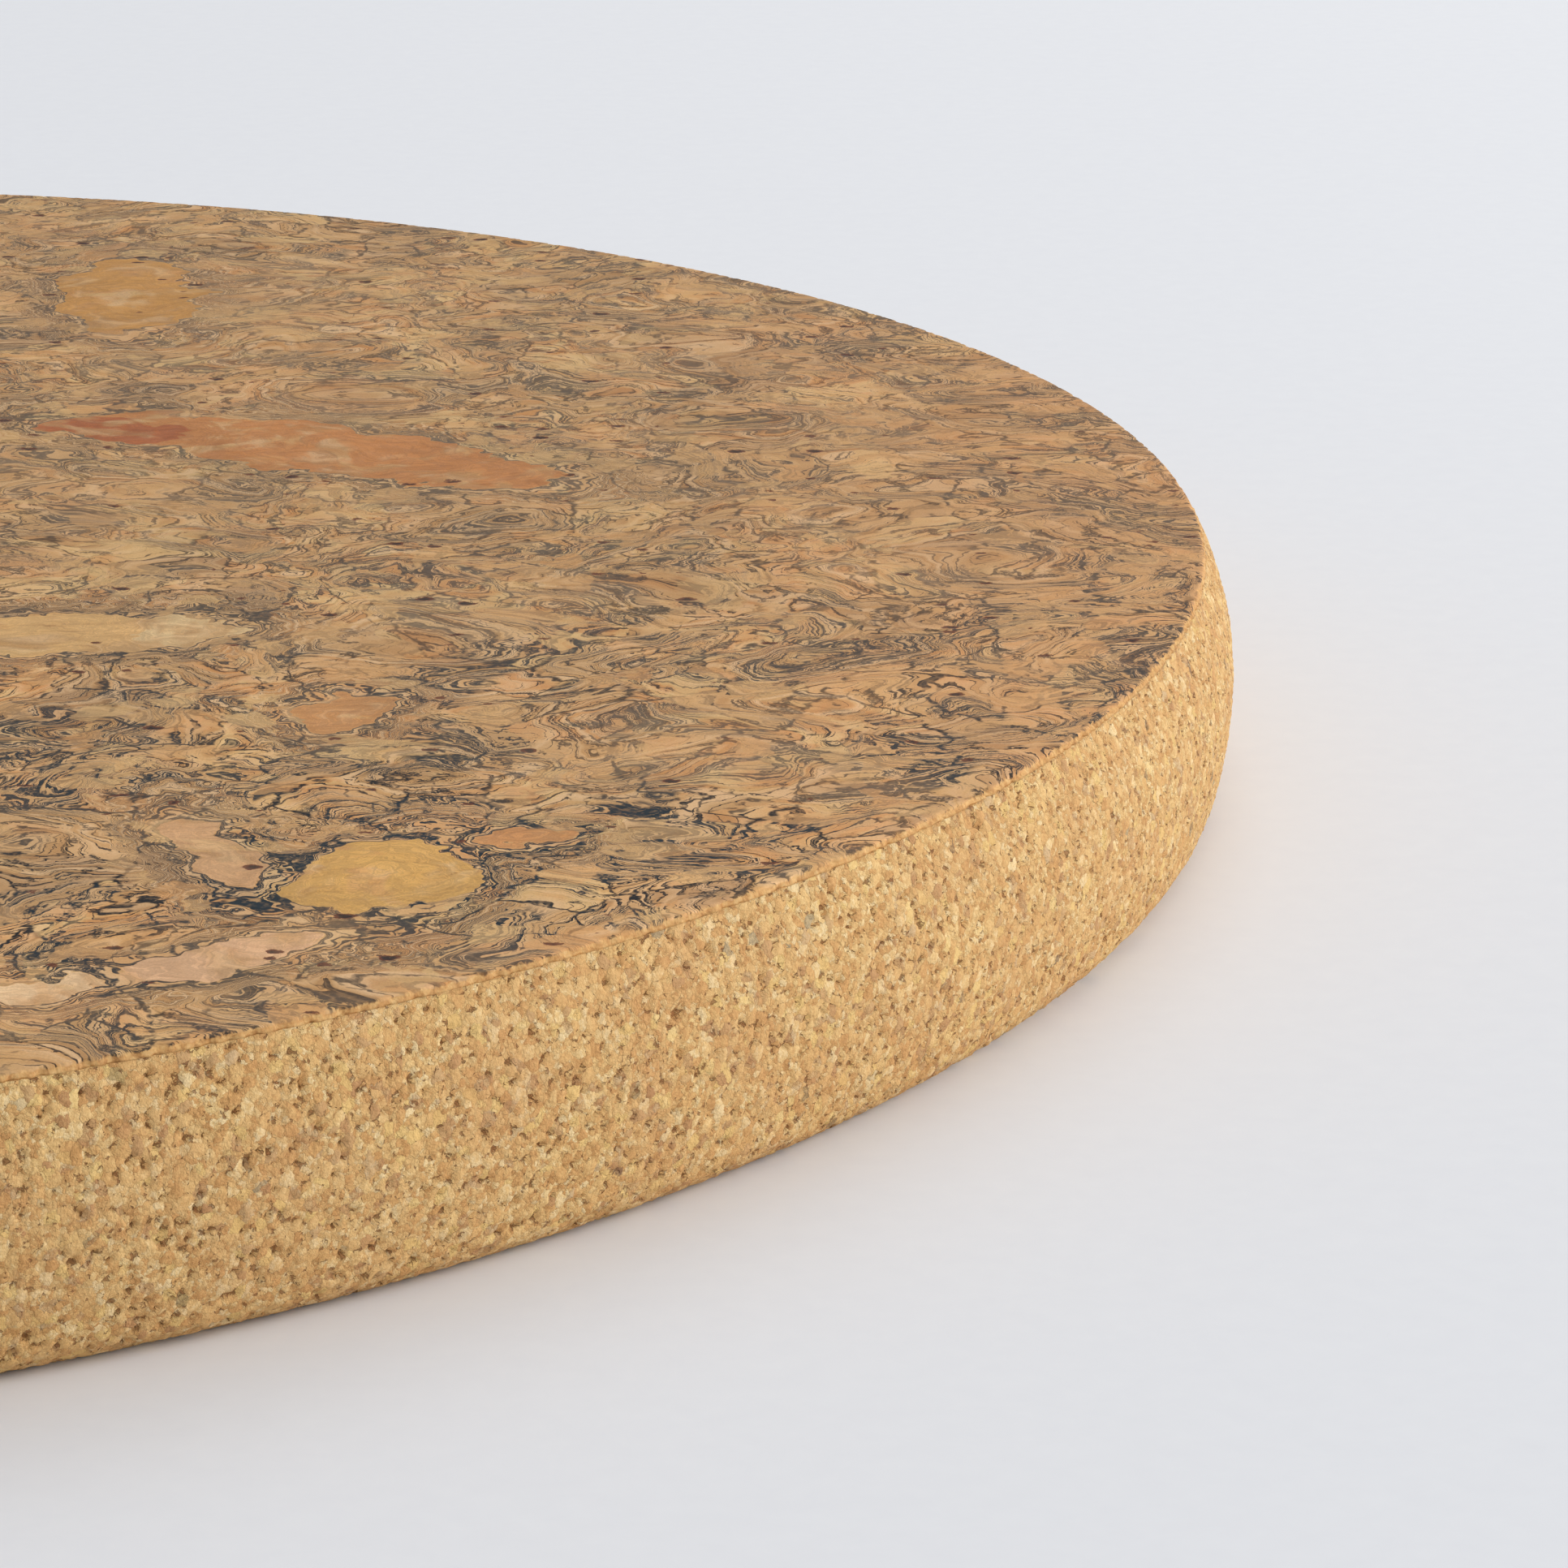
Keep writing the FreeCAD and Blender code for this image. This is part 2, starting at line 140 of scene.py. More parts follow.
def rounded_rectangle(low, high, corner, step):
    """A rounded rectangle's outline, turning to the left."""
    outline = []
    quarters = ((high[0], high[1], 0), (low[0], high[1], 1), (low[0], low[1], 2), (high[0], low[1], 3))
    for x, y, quarter in quarters:
        centre = (
            x - corner if x == high[0] else x + corner,
            y - corner if y == high[1] else y + corner,
        )
        start = quarter * math.pi / 2
        outline += arc(centre, corner, start, start + math.pi / 2, step)
    full = []
    for i, point in enumerate(outline):
        nearest = outline[(i + 1) % len(outline)]
        gap = math.dist(point, nearest)
        parts = max(1, round(gap / step))
        full += [
            (
                point[0] + (nearest[0] - point[0]) * j / parts,
                point[1] + (nearest[1] - point[1]) * j / parts,
            )
            for j in range(parts)
        ]
    return full


def tiled(outlines, spots):
    """Triangles over the first outline, less the others, with its points first in the list."""
    points, edges = [], []
    for outline in outlines:
        first, count = len(points), len(outline)
        points += outline
        edges += [(first + i, first + (i + 1) % count) for i in range(count)]
    rim = len(points)
    holes = outlines[1:]
    tight = [
        (min(p[0] for p in h), min(p[1] for p in h), max(p[0] for p in h), max(p[1] for p in h))
        for h in holes
    ]
    clear = 0.6
    spots = [
        s for s in spots
        if not any(b[0] - clear < s[0] < b[2] + clear and b[1] - clear < s[1] < b[3] + clear for b in tight)
    ]
    made, _, faces, origins, _, _ = delaunay_2d_cdt(
        [Vector(p) for p in points + spots], edges, [], 0, 1e-5, True
    )
    place = {}
    for new, old in enumerate(origins):
        for index in old:
            place[index] = new
    order = [place[i] for i in range(rim)]
    rank = {new: i for i, new in enumerate(order)}
    rest = [i for i in range(len(made)) if i not in rank]
    rank.update({new: rim + i for i, new in enumerate(rest)})
    listed = [tuple(made[i]) for i in order + rest]
    kept = []
    for face in faces:
        x = sum(made[i][0] for i in face) / len(face)
        y = sum(made[i][1] for i in face) / len(face)
        if not any(inside((x, y), hole) for hole in holes if within((x, y), hole)):
            kept.append([rank[i] for i in face])
    return listed, kept


def within(point, outline):
    """Whether a point is in the rectangle round an outline."""
    xs, ys = zip(*outline)
    return min(xs) < point[0] < max(xs) and min(ys) < point[1] < max(ys)


def inside(point, outline):
    """Whether a point is inside an outline."""
    x, y = point
    odd = False
    for (x1, y1), (x2, y2) in zip(outline, outline[1:] + outline[:1]):
        if (y1 > y) != (y2 > y) and x < x1 + (y - y1) / (y2 - y1) * (x2 - x1):
            odd = not odd
    return odd


class Shell:
    """A mesh in the making: points in millimetres, faces, each face's place in the colour map."""

    def __init__(self):
        self.points, self.faces, self.maps, self.relief = [], [], [], []

    def rings(self, rings, relief, chart):
        """Quads between closed rings of equal count. chart(row, column) gives the map place."""
        first = len(self.points)
        count = len(rings[0])
        for row, points in enumerate(rings):
            self.points += points
            self.relief += [relief[row]] * count
        for row in range(len(rings) - 1):
            low = first + row * count
            for i in range(count):
                j = (i + 1) % count
                self.faces.append((low + i, low + j, low + count + j, low + count + i))
                corners = ((row, i), (row, i + 1), (row + 1, i + 1), (row + 1, i))
                self.maps.append([chart(*corner, i) for corner in corners])
        return first

    def sheet(self, tiles, height, relief, chart, faces_up, fixed=()):
        """A flat tiled area. fixed lists the points that stand already, for its first ones."""
        points, faces = tiles
        numbers = list(fixed)
        for x, y in points[len(numbers):]:
            numbers.append(len(self.points))
            self.points.append((x, y, height))
            self.relief.append(relief(x, y))
        for face in faces:
            face = face if faces_up else face[::-1]
            self.faces.append([numbers[i] for i in face])
            self.maps.append([chart(*points[i]) for i in face])

    def build(self, name):
        """The mesh as a piece in the scene, with its colour map and its share of relief."""
        mesh = bpy.data.meshes.new(name)
        mesh.from_pydata([(x * MM, y * MM, z * MM) for x, y, z in self.points], [], self.faces)
        flat = [value for corners in self.maps for place in corners for value in place]
        mesh.uv_layers.new(name="OFBake").data.foreach_set("uv", flat)
        mesh.attributes.new("relief", "FLOAT", "POINT").data.foreach_set("value", self.relief)
        mesh.shade_smooth()
        piece = bpy.data.objects.new(name, mesh)
        scene.collection.objects.link(piece)
        return piece


# The colour map: the edge in five strips, then the back's disc, the pockets and the hidden top.
STRIPS = 5
STRIP_HEIGHT = 0.11
STRIP_GAP = 0.004
BACK_MAP = (0.22, 0.78, 0.21)
TOP_MAP = (0.52, 0.9, 0.08)
POCKET_MAPS = ((0.66, 0.78), (0.84, 0.78))
POCKET_SCALE = 0.0014

edge = edge_profile()
edge_length = [0.0]
for (r1, z1), (r2, z2) in zip(edge, edge[1:]):
    edge_length.append(edge_length[-1] + math.dist((r1, z1), (r2, z2)))


def edge_chart(row, column, owner):
    """A place on the edge's strips, for a corner of the face that a column owns."""
    strip = min(owner * STRIPS // EDGE_COLUMNS, STRIPS - 1)
    across = (column * STRIPS / EDGE_COLUMNS) - strip
    up = edge_length[row] / edge_length[-1]
    return (0.002 + 0.996 * across, 0.002 + strip * (STRIP_HEIGHT + STRIP_GAP) + STRIP_HEIGHT * up)


def disc_chart(place, radius):
    """A flat disc's places in the map: its centre across and up, and its radius there."""
    return lambda x, y: (place[0] + x / radius * place[2], place[1] + y / radius * place[2])


def back_relief(x, y):
    """How much of the relief the back has: none at a pocket's lip."""
    away = 9.0
    for low, high in pockets:
        dx = max(low[0] - x, 0, x - high[0])
        dy = max(low[1] - y, 0, y - high[1])
        away = min(away, math.hypot(dx, dy))
    return -min(1.0, max(0.0, away / 1.5))


pockets = []
for side in HANGERS:
    low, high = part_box(f"hanger_block_{side}")
    pockets.append((
        (low.x / MM - POCKET_GAP, low.y / MM - POCKET_GAP),
        (high.x / MM + POCKET_GAP, high.y / MM + POCKET_GAP),
    ))
pocket_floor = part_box("hanger_block_left")[1].z / MM
mouths = [rounded_rectangle(low, high, POCKET_CORNER, 1.0) for low, high in pockets]

core = Shell()
columns = ring(1.0, EDGE_COLUMNS)
edge_rings = [[(r * x, r * y, z) for x, y in columns] for r, z in edge]
# Near the back and next to the veneer the relief only goes in.
edge_relief = [-1.0 if z < LYING_EDGE else 1.0 for _, z in edge]
edge_relief[-2:] = [0.8, -0.2]
edge_first = core.rings(edge_rings, edge_relief, edge_chart)
foot = ring(edge[0][0], EDGE_COLUMNS)
spots = thinning_rings(edge[0][0], ((0.35, 2000, 0.3), (0.85, 1400, 0), (1.6, 1000, 0.4)))
spots += hex_spots(edge[0][0] - 2.4, BACK_STEP)
back = tiled([foot] + mouths, spots)
core.sheet(
    back, 0.0, back_relief, disc_chart(BACK_MAP, edge[0][0]), False,
    fixed=range(edge_first, edge_first + EDGE_COLUMNS),
)
for mouth, map_place in zip(mouths, POCKET_MAPS):
    count = len(mouth)
    centre = (sum(x for x, _ in mouth) / count, sum(y for _, y in mouth) / count)

    def wall_chart(row, column, owner, place=map_place, count=count, points=mouth, centre=centre):
        """A pocket's wall, laid out round its floor."""
        x, y = points[column % count]
        out = 1.0 + 0.35 * (1 - row)
        return (
            place[0] + (x - centre[0]) * out * POCKET_SCALE,
            place[1] + (y - centre[1]) * out * POCKET_SCALE,
        )

    walls = [[(x, y, z) for x, y in mouth] for z in (0.0, pocket_floor)]
    core.rings([w[::-1] for w in walls], [0.0, 0.0], wall_chart)
    floor_tiles = tiled([mouth], [])
    core.sheet(
        floor_tiles, pocket_floor, lambda x, y: 0.0,
        lambda x, y, place=map_place, centre=centre: (
            place[0] + (x - centre[0]) * POCKET_SCALE,
            place[1] + (y - centre[1]) * POCKET_SCALE,
        ),
        False,
    )
top_radius = edge[-1][0]
HIDDEN_RINGS = ((1, 1500, 0), (3, 750, 0), (8, 300, 0), (20, 120, 0), (60, 40, 0))
core.sheet(
    tiled([ring(top_radius, EDGE_COLUMNS)], thinning_rings(top_radius, HIDDEN_RINGS)),
    CORE_TOP, lambda x, y: 0.0, disc_chart(TOP_MAP, top_radius), True,
    fixed=range(edge_first + (len(edge) - 1) * EDGE_COLUMNS, edge_first + len(edge) * EDGE_COLUMNS),
)
core_disc_cork = core.build("core_disc_cork")
weld = bmesh.new()
weld.from_mesh(core_disc_cork.data)
bmesh.ops.remove_doubles(weld, verts=weld.verts, dist=1e-7)
weld.to_mesh(core_disc_cork.data)
weld.free()


def colour(code):
    """An sRGB hex colour as linear numbers."""
    parts = [int(code[i:i + 2], 16) / 255 for i in (0, 2, 4)]
    return [p / 12.92 if p <= 0.04045 else ((p + 0.055) / 1.055) ** 2.4 for p in parts] + [1.0]


def add(tree, kind, values=(), stops=(), **settings):
    """Adds a node with its settings. Its live sockets are set or linked, in order or by name.

    stops are a colour ramp's places and hex colours.
    """
    node = tree.nodes.new(kind if "Node" in kind else "ShaderNode" + kind)
    for name, value in settings.items():
        setattr(node, name, value)
    if stops:
        shades = node.color_ramp.elements
        shades.remove(shades[-1])
        for i, (place, code) in enumerate(stops):
            shade = shades.new(place) if i else shades[0]
            shade.position, shade.color = place, colour(code)
    live = [socket for socket in node.inputs if socket.enabled]
    named = {socket.name: socket for socket in reversed(live)}
    for key, value in values.items() if isinstance(values, dict) else enumerate(values):
        socket = live[key] if isinstance(key, int) else named[key]
        if isinstance(value, bpy.types.Node):
            value = next(out for out in value.outputs if out.enabled)
        if isinstance(value, bpy.types.NodeSocket):
            tree.links.new(value, socket)
        elif value is not None:
            socket.default_value = value
    return node


def drifted(tree, place, size, reach, detail=2.0, roughness=0.5):
    """Places pushed about by noise of a size, by up to half a reach, both in millimetres."""
    push = add(tree, "TexNoise", [place, 1 / size, detail, roughness])
    push = add(tree, "VectorMath", [push.outputs["Color"], (0.5, 0.5, 0.5)], operation="SUBTRACT")
    push = add(tree, "VectorMath", [push, reach], operation="SCALE")
    return add(tree, "VectorMath", [place, push])


def wire(tree, node, shader, name):
    """Links a node's first live output to one of the shader's sockets."""
    tree.links.new(next(out for out in node.outputs if out.enabled), shader.inputs[name])


def new_finish(name, **sockets):
    """A material with its main shader, and that shader's fixed values."""
    material = bpy.data.materials.new(name)
    material.use_nodes = True
    tree = material.node_tree
    tree.nodes.clear()
    shader = add(tree, "BsdfPrincipled", {n.replace("_", " "): v for n, v in sockets.items()})
    add(tree, "OutputMaterial", [shader])
    return material, tree, shader


SOFT_EDGE = {"interpolation_type": "SMOOTHSTEP"}
GRANULE = 0.8
SMALL_GRANULE = 0.42
JOINT_HALF = 0.06
PIT_SPACING = 0.6


def granules(tree, place):
    """Cut cork granules: each one's shade, its own height, open joints and torn-out pits."""
    jagged = drifted(tree, drifted(tree, place, 0.5, 0.5, 3.0, 0.65), 0.15, 0.2, 1.0)
    cell = add(tree, "TexVoronoi", [jagged, 1 / GRANULE])
    joint = add(tree, "TexVoronoi", [jagged, 1 / GRANULE], feature="DISTANCE_TO_EDGE")
    small_cell = add(tree, "TexVoronoi", [jagged, 1 / SMALL_GRANULE])
    small_joint = add(tree, "TexVoronoi", [jagged, 1 / SMALL_GRANULE], feature="DISTANCE_TO_EDGE")
    own = add(tree, "SeparateXYZ", [cell.outputs["Color"]])
    small_own = add(tree, "SeparateXYZ", [small_cell.outputs["Color"]])
    # Where small granules fill in between the larger ones.
    fines = add(tree, "Math", [own.outputs[2], 0.68], operation="LESS_THAN")
    shade = add(tree, "Mix", [fines, own.outputs[0], small_own.outputs[0]])
    rise = add(tree, "Mix", [fines, own.outputs[1], small_own.outputs[1]])
    gap = add(tree, "Math", [joint, GRANULE], operation="MULTIPLY")
    small_gap = add(tree, "Math", [small_joint, SMALL_GRANULE], operation="MULTIPLY")
    inner_gap = add(tree, "Mix", [fines, gap, small_gap])
    gap = add(tree, "Math", [gap, inner_gap], operation="MINIMUM")
    # Joints open here and there; a pit is where one is torn wide.
    loose = add(tree, "TexNoise", [place, 1 / PIT_SPACING, 3.0, 0.6])
    width = add(tree, "MapRange", [loose, 0.57, 0.8, 0.0, 0.22])
    pit_edge = add(tree, "Math", [gap, width], operation="SUBTRACT")
    pit = add(tree, "MapRange", [pit_edge, 0.01, -0.05, 0.0, 1.0], **SOFT_EDGE)
    open_joint = add(
        tree, "MapRange", [gap, 0.0, JOINT_HALF, 1.0, 0.0], **SOFT_EDGE
    )
    ragged = add(tree, "TexNoise", [place, 1 / 0.3, 3.0, 0.65])
    swell = add(tree, "Mix", [fines, cell, small_cell])
    swell = add(tree, "Math", [swell, swell], operation="MULTIPLY")
    rise = add(tree, "Math", [rise, swell], operation="SUBTRACT")
    return {
        "shade": shade, "rise": rise, "joint": open_joint, "pit": pit,
        "ragged": ragged, "own": own,
    }


RISE = 0.16
JOINT_DEPTH = 0.02
PIT_DEPTH = 0.4
RAGGED_DEPTH = 0.26

relief = bpy.data.node_groups.new("granule_relief", "GeometryNodeTree")
relief.interface.new_socket("Geometry", in_out="INPUT", socket_type="NodeSocketGeometry")
relief.interface.new_socket("Geometry", in_out="OUTPUT", socket_type="NodeSocketGeometry")
position = add(relief, "GeometryNodeInputPosition")
place = add(relief, "VectorMath", [position, 1 / MM], operation="SCALE")
kept = add(
    relief, "GeometryNodeStoreNamedAttribute", [add(relief, "NodeGroupInput"), None, "rest_mm", place],
    data_type="FLOAT_VECTOR", domain="POINT",
)
grain = granules(relief, place)
level = add(relief, "Math", [grain["rise"], RISE, -RISE / 2], operation="MULTIPLY_ADD")
level = add(relief, "Math", [grain["joint"], -JOINT_DEPTH, level], operation="MULTIPLY_ADD")
level = add(relief, "Math", [grain["pit"], -PIT_DEPTH, level], operation="MULTIPLY_ADD")
level = add(relief, "Math", [grain["ragged"], RAGGED_DEPTH, level], operation="MULTIPLY_ADD")
level = add(relief, "Math", [level, RAGGED_DEPTH / 2], operation="SUBTRACT")
share = add(relief, "GeometryNodeInputNamedAttribute", ["relief"])
# The back lies on what is under it, so its relief only goes in.
only_in = add(relief, "Math", [level, 0.0], operation="MINIMUM")
lying = add(relief, "Math", [share, 0.0], operation="LESS_THAN")
level = add(relief, "Mix", [lying, level, only_in])
level = add(relief, "Math", [level, add(relief, "Math", [share], operation="ABSOLUTE")], operation="MULTIPLY")
level = add(relief, "Math", [level, MM], operation="MULTIPLY")
push = add(relief, "VectorMath", [add(relief, "GeometryNodeInputNormal"), level], operation="SCALE")
moved = add(relief, "GeometryNodeSetPosition", [kept, None, None, push])
add(relief, "NodeGroupOutput", [moved])


def with_relief(piece, group):
    """Works a relief into the piece's own mesh."""
    modifier = piece.modifiers.new("relief", "NODES")
    modifier.node_group = group
    seen = bpy.context.evaluated_depsgraph_get()
    mesh = bpy.data.meshes.new_from_object(
        piece.evaluated_get(seen), preserve_all_data_layers=True, depsgraph=seen
    )
    piece.modifiers.clear()
    piece.data = mesh


with_relief(core_disc_cork, relief)

# Agglomerated cork, sanded: matt and dry, each granule its own tan, with dark bark flecks and painted shade
# in its pits.
sanded_cork, tree, shader = new_finish(
    "agglomerated_cork_sanded", Roughness=0.75, IOR=1.45, Specular_IOR_Level=0.45
)
place = add(tree, "Attribute", attribute_type="GEOMETRY", attribute_name="rest_mm").outputs["Vector"]
grain = granules(tree, place)
cloudy = add(tree, "TexNoise", [place, 1 / 0.4, 3.0, 0.6])
cloudy = add(tree, "Math", [cloudy, 1.1, -0.55], operation="MULTIPLY_ADD")
tone = add(tree, "Math", [grain["shade"], cloudy])
shade = add(tree, "ValToRGB", [tone], stops=[
    (0.0, "c79458"), (0.12, "d4a163"), (0.3, "dbac6c"), (0.5, "e0b474"), (0.7, "e5bc7c"),
    (0.85, "eac587"), (1.0, "efd19b"),
])
mottle = add(tree, "TexNoise", [place, 1 / 0.2, 3.0, 0.65])
mottle = add(tree, "MapRange", [mottle, 0.25, 0.75, 0.86, 1.1])
paint = add(tree, "VectorMath", [shade, mottle], operation="SCALE")
drift = add(tree, "TexNoise", [place, 1 / 5.0, 3.0, 0.5])
drift = add(tree, "MapRange", [drift, 0.35, 0.7, 0.0, 0.35])
paint = add(tree, "Mix", [drift, paint, colour("cd955f")], data_type="RGBA")
mauve = add(tree, "MapRange", [grain["own"].outputs[1], 0.9, 0.93, 0.0, 0.4])
paint = add(tree, "Mix", [mauve, paint, colour("a47656")], data_type="RGBA")
yolk = add(tree, "MapRange", [grain["own"].outputs[1], 0.08, 0.05, 0.0, 0.6])
paint = add(tree, "Mix", [yolk, paint, colour("ebc67c")], data_type="RGBA")
bark = add(tree, "MapRange", [grain["own"].outputs[0], 0.992, 0.995, 0.0, 0.9])
bark = add(tree, "Math", [bark, grain["ragged"]], operation="MULTIPLY")
paint = add(tree, "Mix", [bark, paint, colour("3d3838")], data_type="RGBA")
# Painted shade: the torn-out pits are painted dark brown for the shade that the coarse mesh can't cast in
# them.
pit_painted_shade = add(tree, "Math", [grain["pit"], 0.7], operation="MULTIPLY")
paint = add(tree, "Mix", [pit_painted_shade, paint, colour("895328")], data_type="RGBA")
wire(tree, paint, shader, "Base Color")
# Cork's cells are 0.03 mm across, too fine to show, so they are drawn at 0.12 mm.
fine = add(tree, "TexNoise", [place, 1 / 0.12, 3.0, 0.65])
level = add(tree, "Math", [grain["ragged"], 0.2], operation="MULTIPLY")
level = add(tree, "Math", [fine, 0.06, level], operation="MULTIPLY_ADD")
level = add(tree, "Math", [grain["rise"], 0.08, level], operation="MULTIPLY_ADD")
level = add(tree, "Math", [grain["joint"], -0.02, level], operation="MULTIPLY_ADD")
level = add(tree, "Math", [grain["pit"], -0.18, level], operation="MULTIPLY_ADD")
bump = add(tree, "Bump", {"Strength": 0.8, "Distance": MM, "Height": level})
wire(tree, bump, shader, "Normal")

core_disc_cork.data.materials.clear()
core_disc_cork.data.materials.append(sanded_cork)
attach(core_disc_cork, "root")
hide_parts("core_disc")

# --- The face veneer -------------------------------------------------------------------------
# A half-millimetre sheet of marbled cork: flattened scraps of bark and cork wood glued into a
# block and sliced, so that each scrap shows as an island ringed by the dark lines of its bark.
# It is glued over the whole disc, sanded flush at the rim and sealed with a thin matt lacquer.

RIM_EASE = 0.2
CRUMB = 0.8
CRUMB_DEPTH = 0.22
FACE_STEP = 0.85
FACE_MAP = (0.5, 0.515, 0.478)
UNDER_MAP = (0.055, 0.95, 0.045)
RIM_STRIP = 0.005


def rim_profile():
    """The sheet's edge: the board's bulge carried on, then a small sanded easing to the face."""
    centre = (BELLY_RADIUS - UPPER_BELLY, BELLY_HEIGHT)
    low, high = upper_edge_angle(CORE_TOP), upper_edge_angle(FACE_TOP - RIM_EASE)
    side = arc(centre, UPPER_BELLY, low, high, 0.15)
    ease_centre = (side[-1][0] - RIM_EASE, side[-1][1])
    return side + arc(ease_centre, RIM_EASE, 0.1, math.pi / 2, 0.1)[1:]


def crumbled(x, y, z):
    """A rim point drawn in where crumbs of the sheet broke away in sanding."""
    depth = noise.fractal((x / CRUMB, y / CRUMB, z / CRUMB), 0.8, 2.0, 3)
    keep = 1 - CRUMB_DEPTH * min(1.0, max(0.0, 2.0 * depth)) / math.hypot(x, y)
    return (x * keep, y * keep, z)


rim = rim_profile()
rim_rings = [[crumbled(r * x, r * y, z) for x, y in columns] for r, z in rim]


def rim_chart(row, column, owner):
    """A place on the rim's strips, for a corner of the face that a column owns."""
    strip = min(owner * STRIPS // EDGE_COLUMNS, STRIPS - 1)
    across = (column * STRIPS / EDGE_COLUMNS) - strip
    up = row / (len(rim) - 1)
    return (0.002 + 0.996 * across, 0.001 + (strip * 1.2 + up) * RIM_STRIP)


sheet = Shell()
rim_first = sheet.rings(rim_rings, [0.0] * len(rim), rim_chart)
face_radius, under_radius = rim[-1][0], rim[0][0]
spots = thinning_rings(face_radius, ((0.3, 2400, 0.3), (0.75, 1600, 0), (1.3, 1200, 0.3)))
spots += hex_spots(face_radius - 1.9, FACE_STEP)
sheet.sheet(
    tiled([ring(face_radius, EDGE_COLUMNS)], spots), FACE_TOP,
    lambda x, y: min(1.0, max(0.0, (face_radius - 0.3 - math.hypot(x, y)) / 1.5)),
    disc_chart(FACE_MAP, face_radius), True,
    fixed=range(rim_first + (len(rim) - 1) * EDGE_COLUMNS, rim_first + len(rim) * EDGE_COLUMNS),
)
sheet.sheet(
    tiled([ring(under_radius, EDGE_COLUMNS)], thinning_rings(under_radius, HIDDEN_RINGS)),
    CORE_TOP, lambda x, y: 0.0, disc_chart(UNDER_MAP, under_radius), False,
    fixed=range(rim_first, rim_first + EDGE_COLUMNS),
)
face_veneer_cork = sheet.build("face_veneer_cork")

# The larger islands of one scrap each: its middle, half sizes, turn in degrees, and shade.
ISLANDS = [
    ((88.3, -94.4), (6.2, 7.2), 14, "d8a65c"),
    ((74.0, 27.0), (25.0, 8.0), -31, "cb874e"),
    ((55.0, 34.0), (7.0, 5.0), -30, "bb6a3d"),
    ((57.0, -34.5), (14.0, 6.0), 6, "e8b878"),
    ((68.5, -33.0), (3.5, 4.6), -10, "e2c08c"),
    ((49.5, 93.0), (7.0, 18.0), 6, "cf9650"),
    ((82.5, -56.0), (3.2, 5.0), 0, "ca9059"),
    ((77.0, -90.0), (2.2, 8.0), 20, "d9a878"),
    ((96.5, -86.0), (3.5, 2.0), -30, "d29259"),
    ((80.0, -111.0), (8.0, 2.6), 30, "e6b68a"),
    ((68.0, -117.0), (5.0, 2.0), 28, "e8c294"),
    ((-60.0, 40.0), (20.0, 8.0), 35, "d9ab69"),
    ((-20.0, -60.0), (8.0, 14.0), -60, "cc8950"),
    ((-85.0, -45.0), (12.0, 6.0), 70, "e0b77b"),
    ((-30.0, 105.0), (15.0, 7.0), -10, "c7925d"),
]
CALM_SHADES = [
    (0.0, "ce9e69"), (0.2, "d4a870"), (0.4, "d39c63"), (0.55, "d9b279"),
    (0.7, "cf9c65"), (0.85, "dcb67d"), (1.0, "cd9259"),
]
CALM_SCRAP = 4.2
SCRAP = 8.0
CHIP = 3.0
MARBLING_SIZE = 14.0
MARBLING_LINES = 42.0
RINGED = (1.0, 4.5)
RING_START = 40.0
SHADES = [
    (0.0, "ad8459"), (0.18, "c29560"), (0.36, "d0a16b"), (0.5, "cf945c"),
    (0.64, "d5a76c"), (0.78, "dbb479"), (0.9, "cd8d50"), (1.0, "c0925d"),
]
EDGE_SHADES = [(0.3, "a97a48"), (0.42, "c59159"), (0.55, "d8a96c"), (0.7, "e4bb80")]


def lenticels(tree, place):
    """The bark's breathing pores, cut through: how deep in one a place is, and its dark heart."""
    bent = drifted(tree, place, 0.9, 1.0, 3.0, 0.6)
    cells = add(tree, "VectorMath", [bent, (0.75, 1.15, 1.0)], operation="MULTIPLY")
    cells = add(tree, "TexVoronoi", [cells, 1 / 2.6])
    pick = add(tree, "SeparateXYZ", [cells.outputs["Color"]])
    radius = add(tree, "MapRange", [pick, 0.62, 1.0, 0.02, 0.25])
    off = add(tree, "Math", [cells, radius], operation="SUBTRACT")
    pore = add(tree, "MapRange", [off, -0.03, 0.02, 1.0, 0.0], **SOFT_EDGE)
    heart = add(tree, "MapRange", [off, -0.12, -0.04, 1.0, 0.0], **SOFT_EDGE)
    chosen = add(tree, "Math", [pick, 0.62], operation="GREATER_THAN")
    pore = add(tree, "Math", [pore, chosen], operation="MULTIPLY")
    heart = add(tree, "Math", [heart, chosen], operation="MULTIPLY")
    return pore, heart


relief = bpy.data.node_groups.new("veneer_relief", "GeometryNodeTree")
relief.interface.new_socket("Geometry", in_out="INPUT", socket_type="NodeSocketGeometry")
relief.interface.new_socket("Geometry", in_out="OUTPUT", socket_type="NodeSocketGeometry")
position = add(relief, "GeometryNodeInputPosition")
place = add(relief, "VectorMath", [position, (1 / MM, 1 / MM, 0.0)], operation="MULTIPLY")
pore, heart = lenticels(relief, place)
waves = add(relief, "TexNoise", [place, 1 / 6.0, 3.0, 0.5])
level = add(relief, "Math", [waves, 0.05, -0.05], operation="MULTIPLY_ADD")
level = add(relief, "Math", [pore, -0.06, level], operation="MULTIPLY_ADD")
share = add(relief, "GeometryNodeInputNamedAttribute", ["relief"])
level = add(relief, "Math", [level, share], operation="MULTIPLY")
level = add(relief, "Math", [level, MM], operation="MULTIPLY")
push = add(relief, "CombineXYZ", [None, None, level])
moved = add(
    relief, "GeometryNodeSetPosition", [add(relief, "NodeGroupInput"), None, None, push]
)
add(relief, "NodeGroupOutput", [moved])
with_relief(face_veneer_cork, relief)


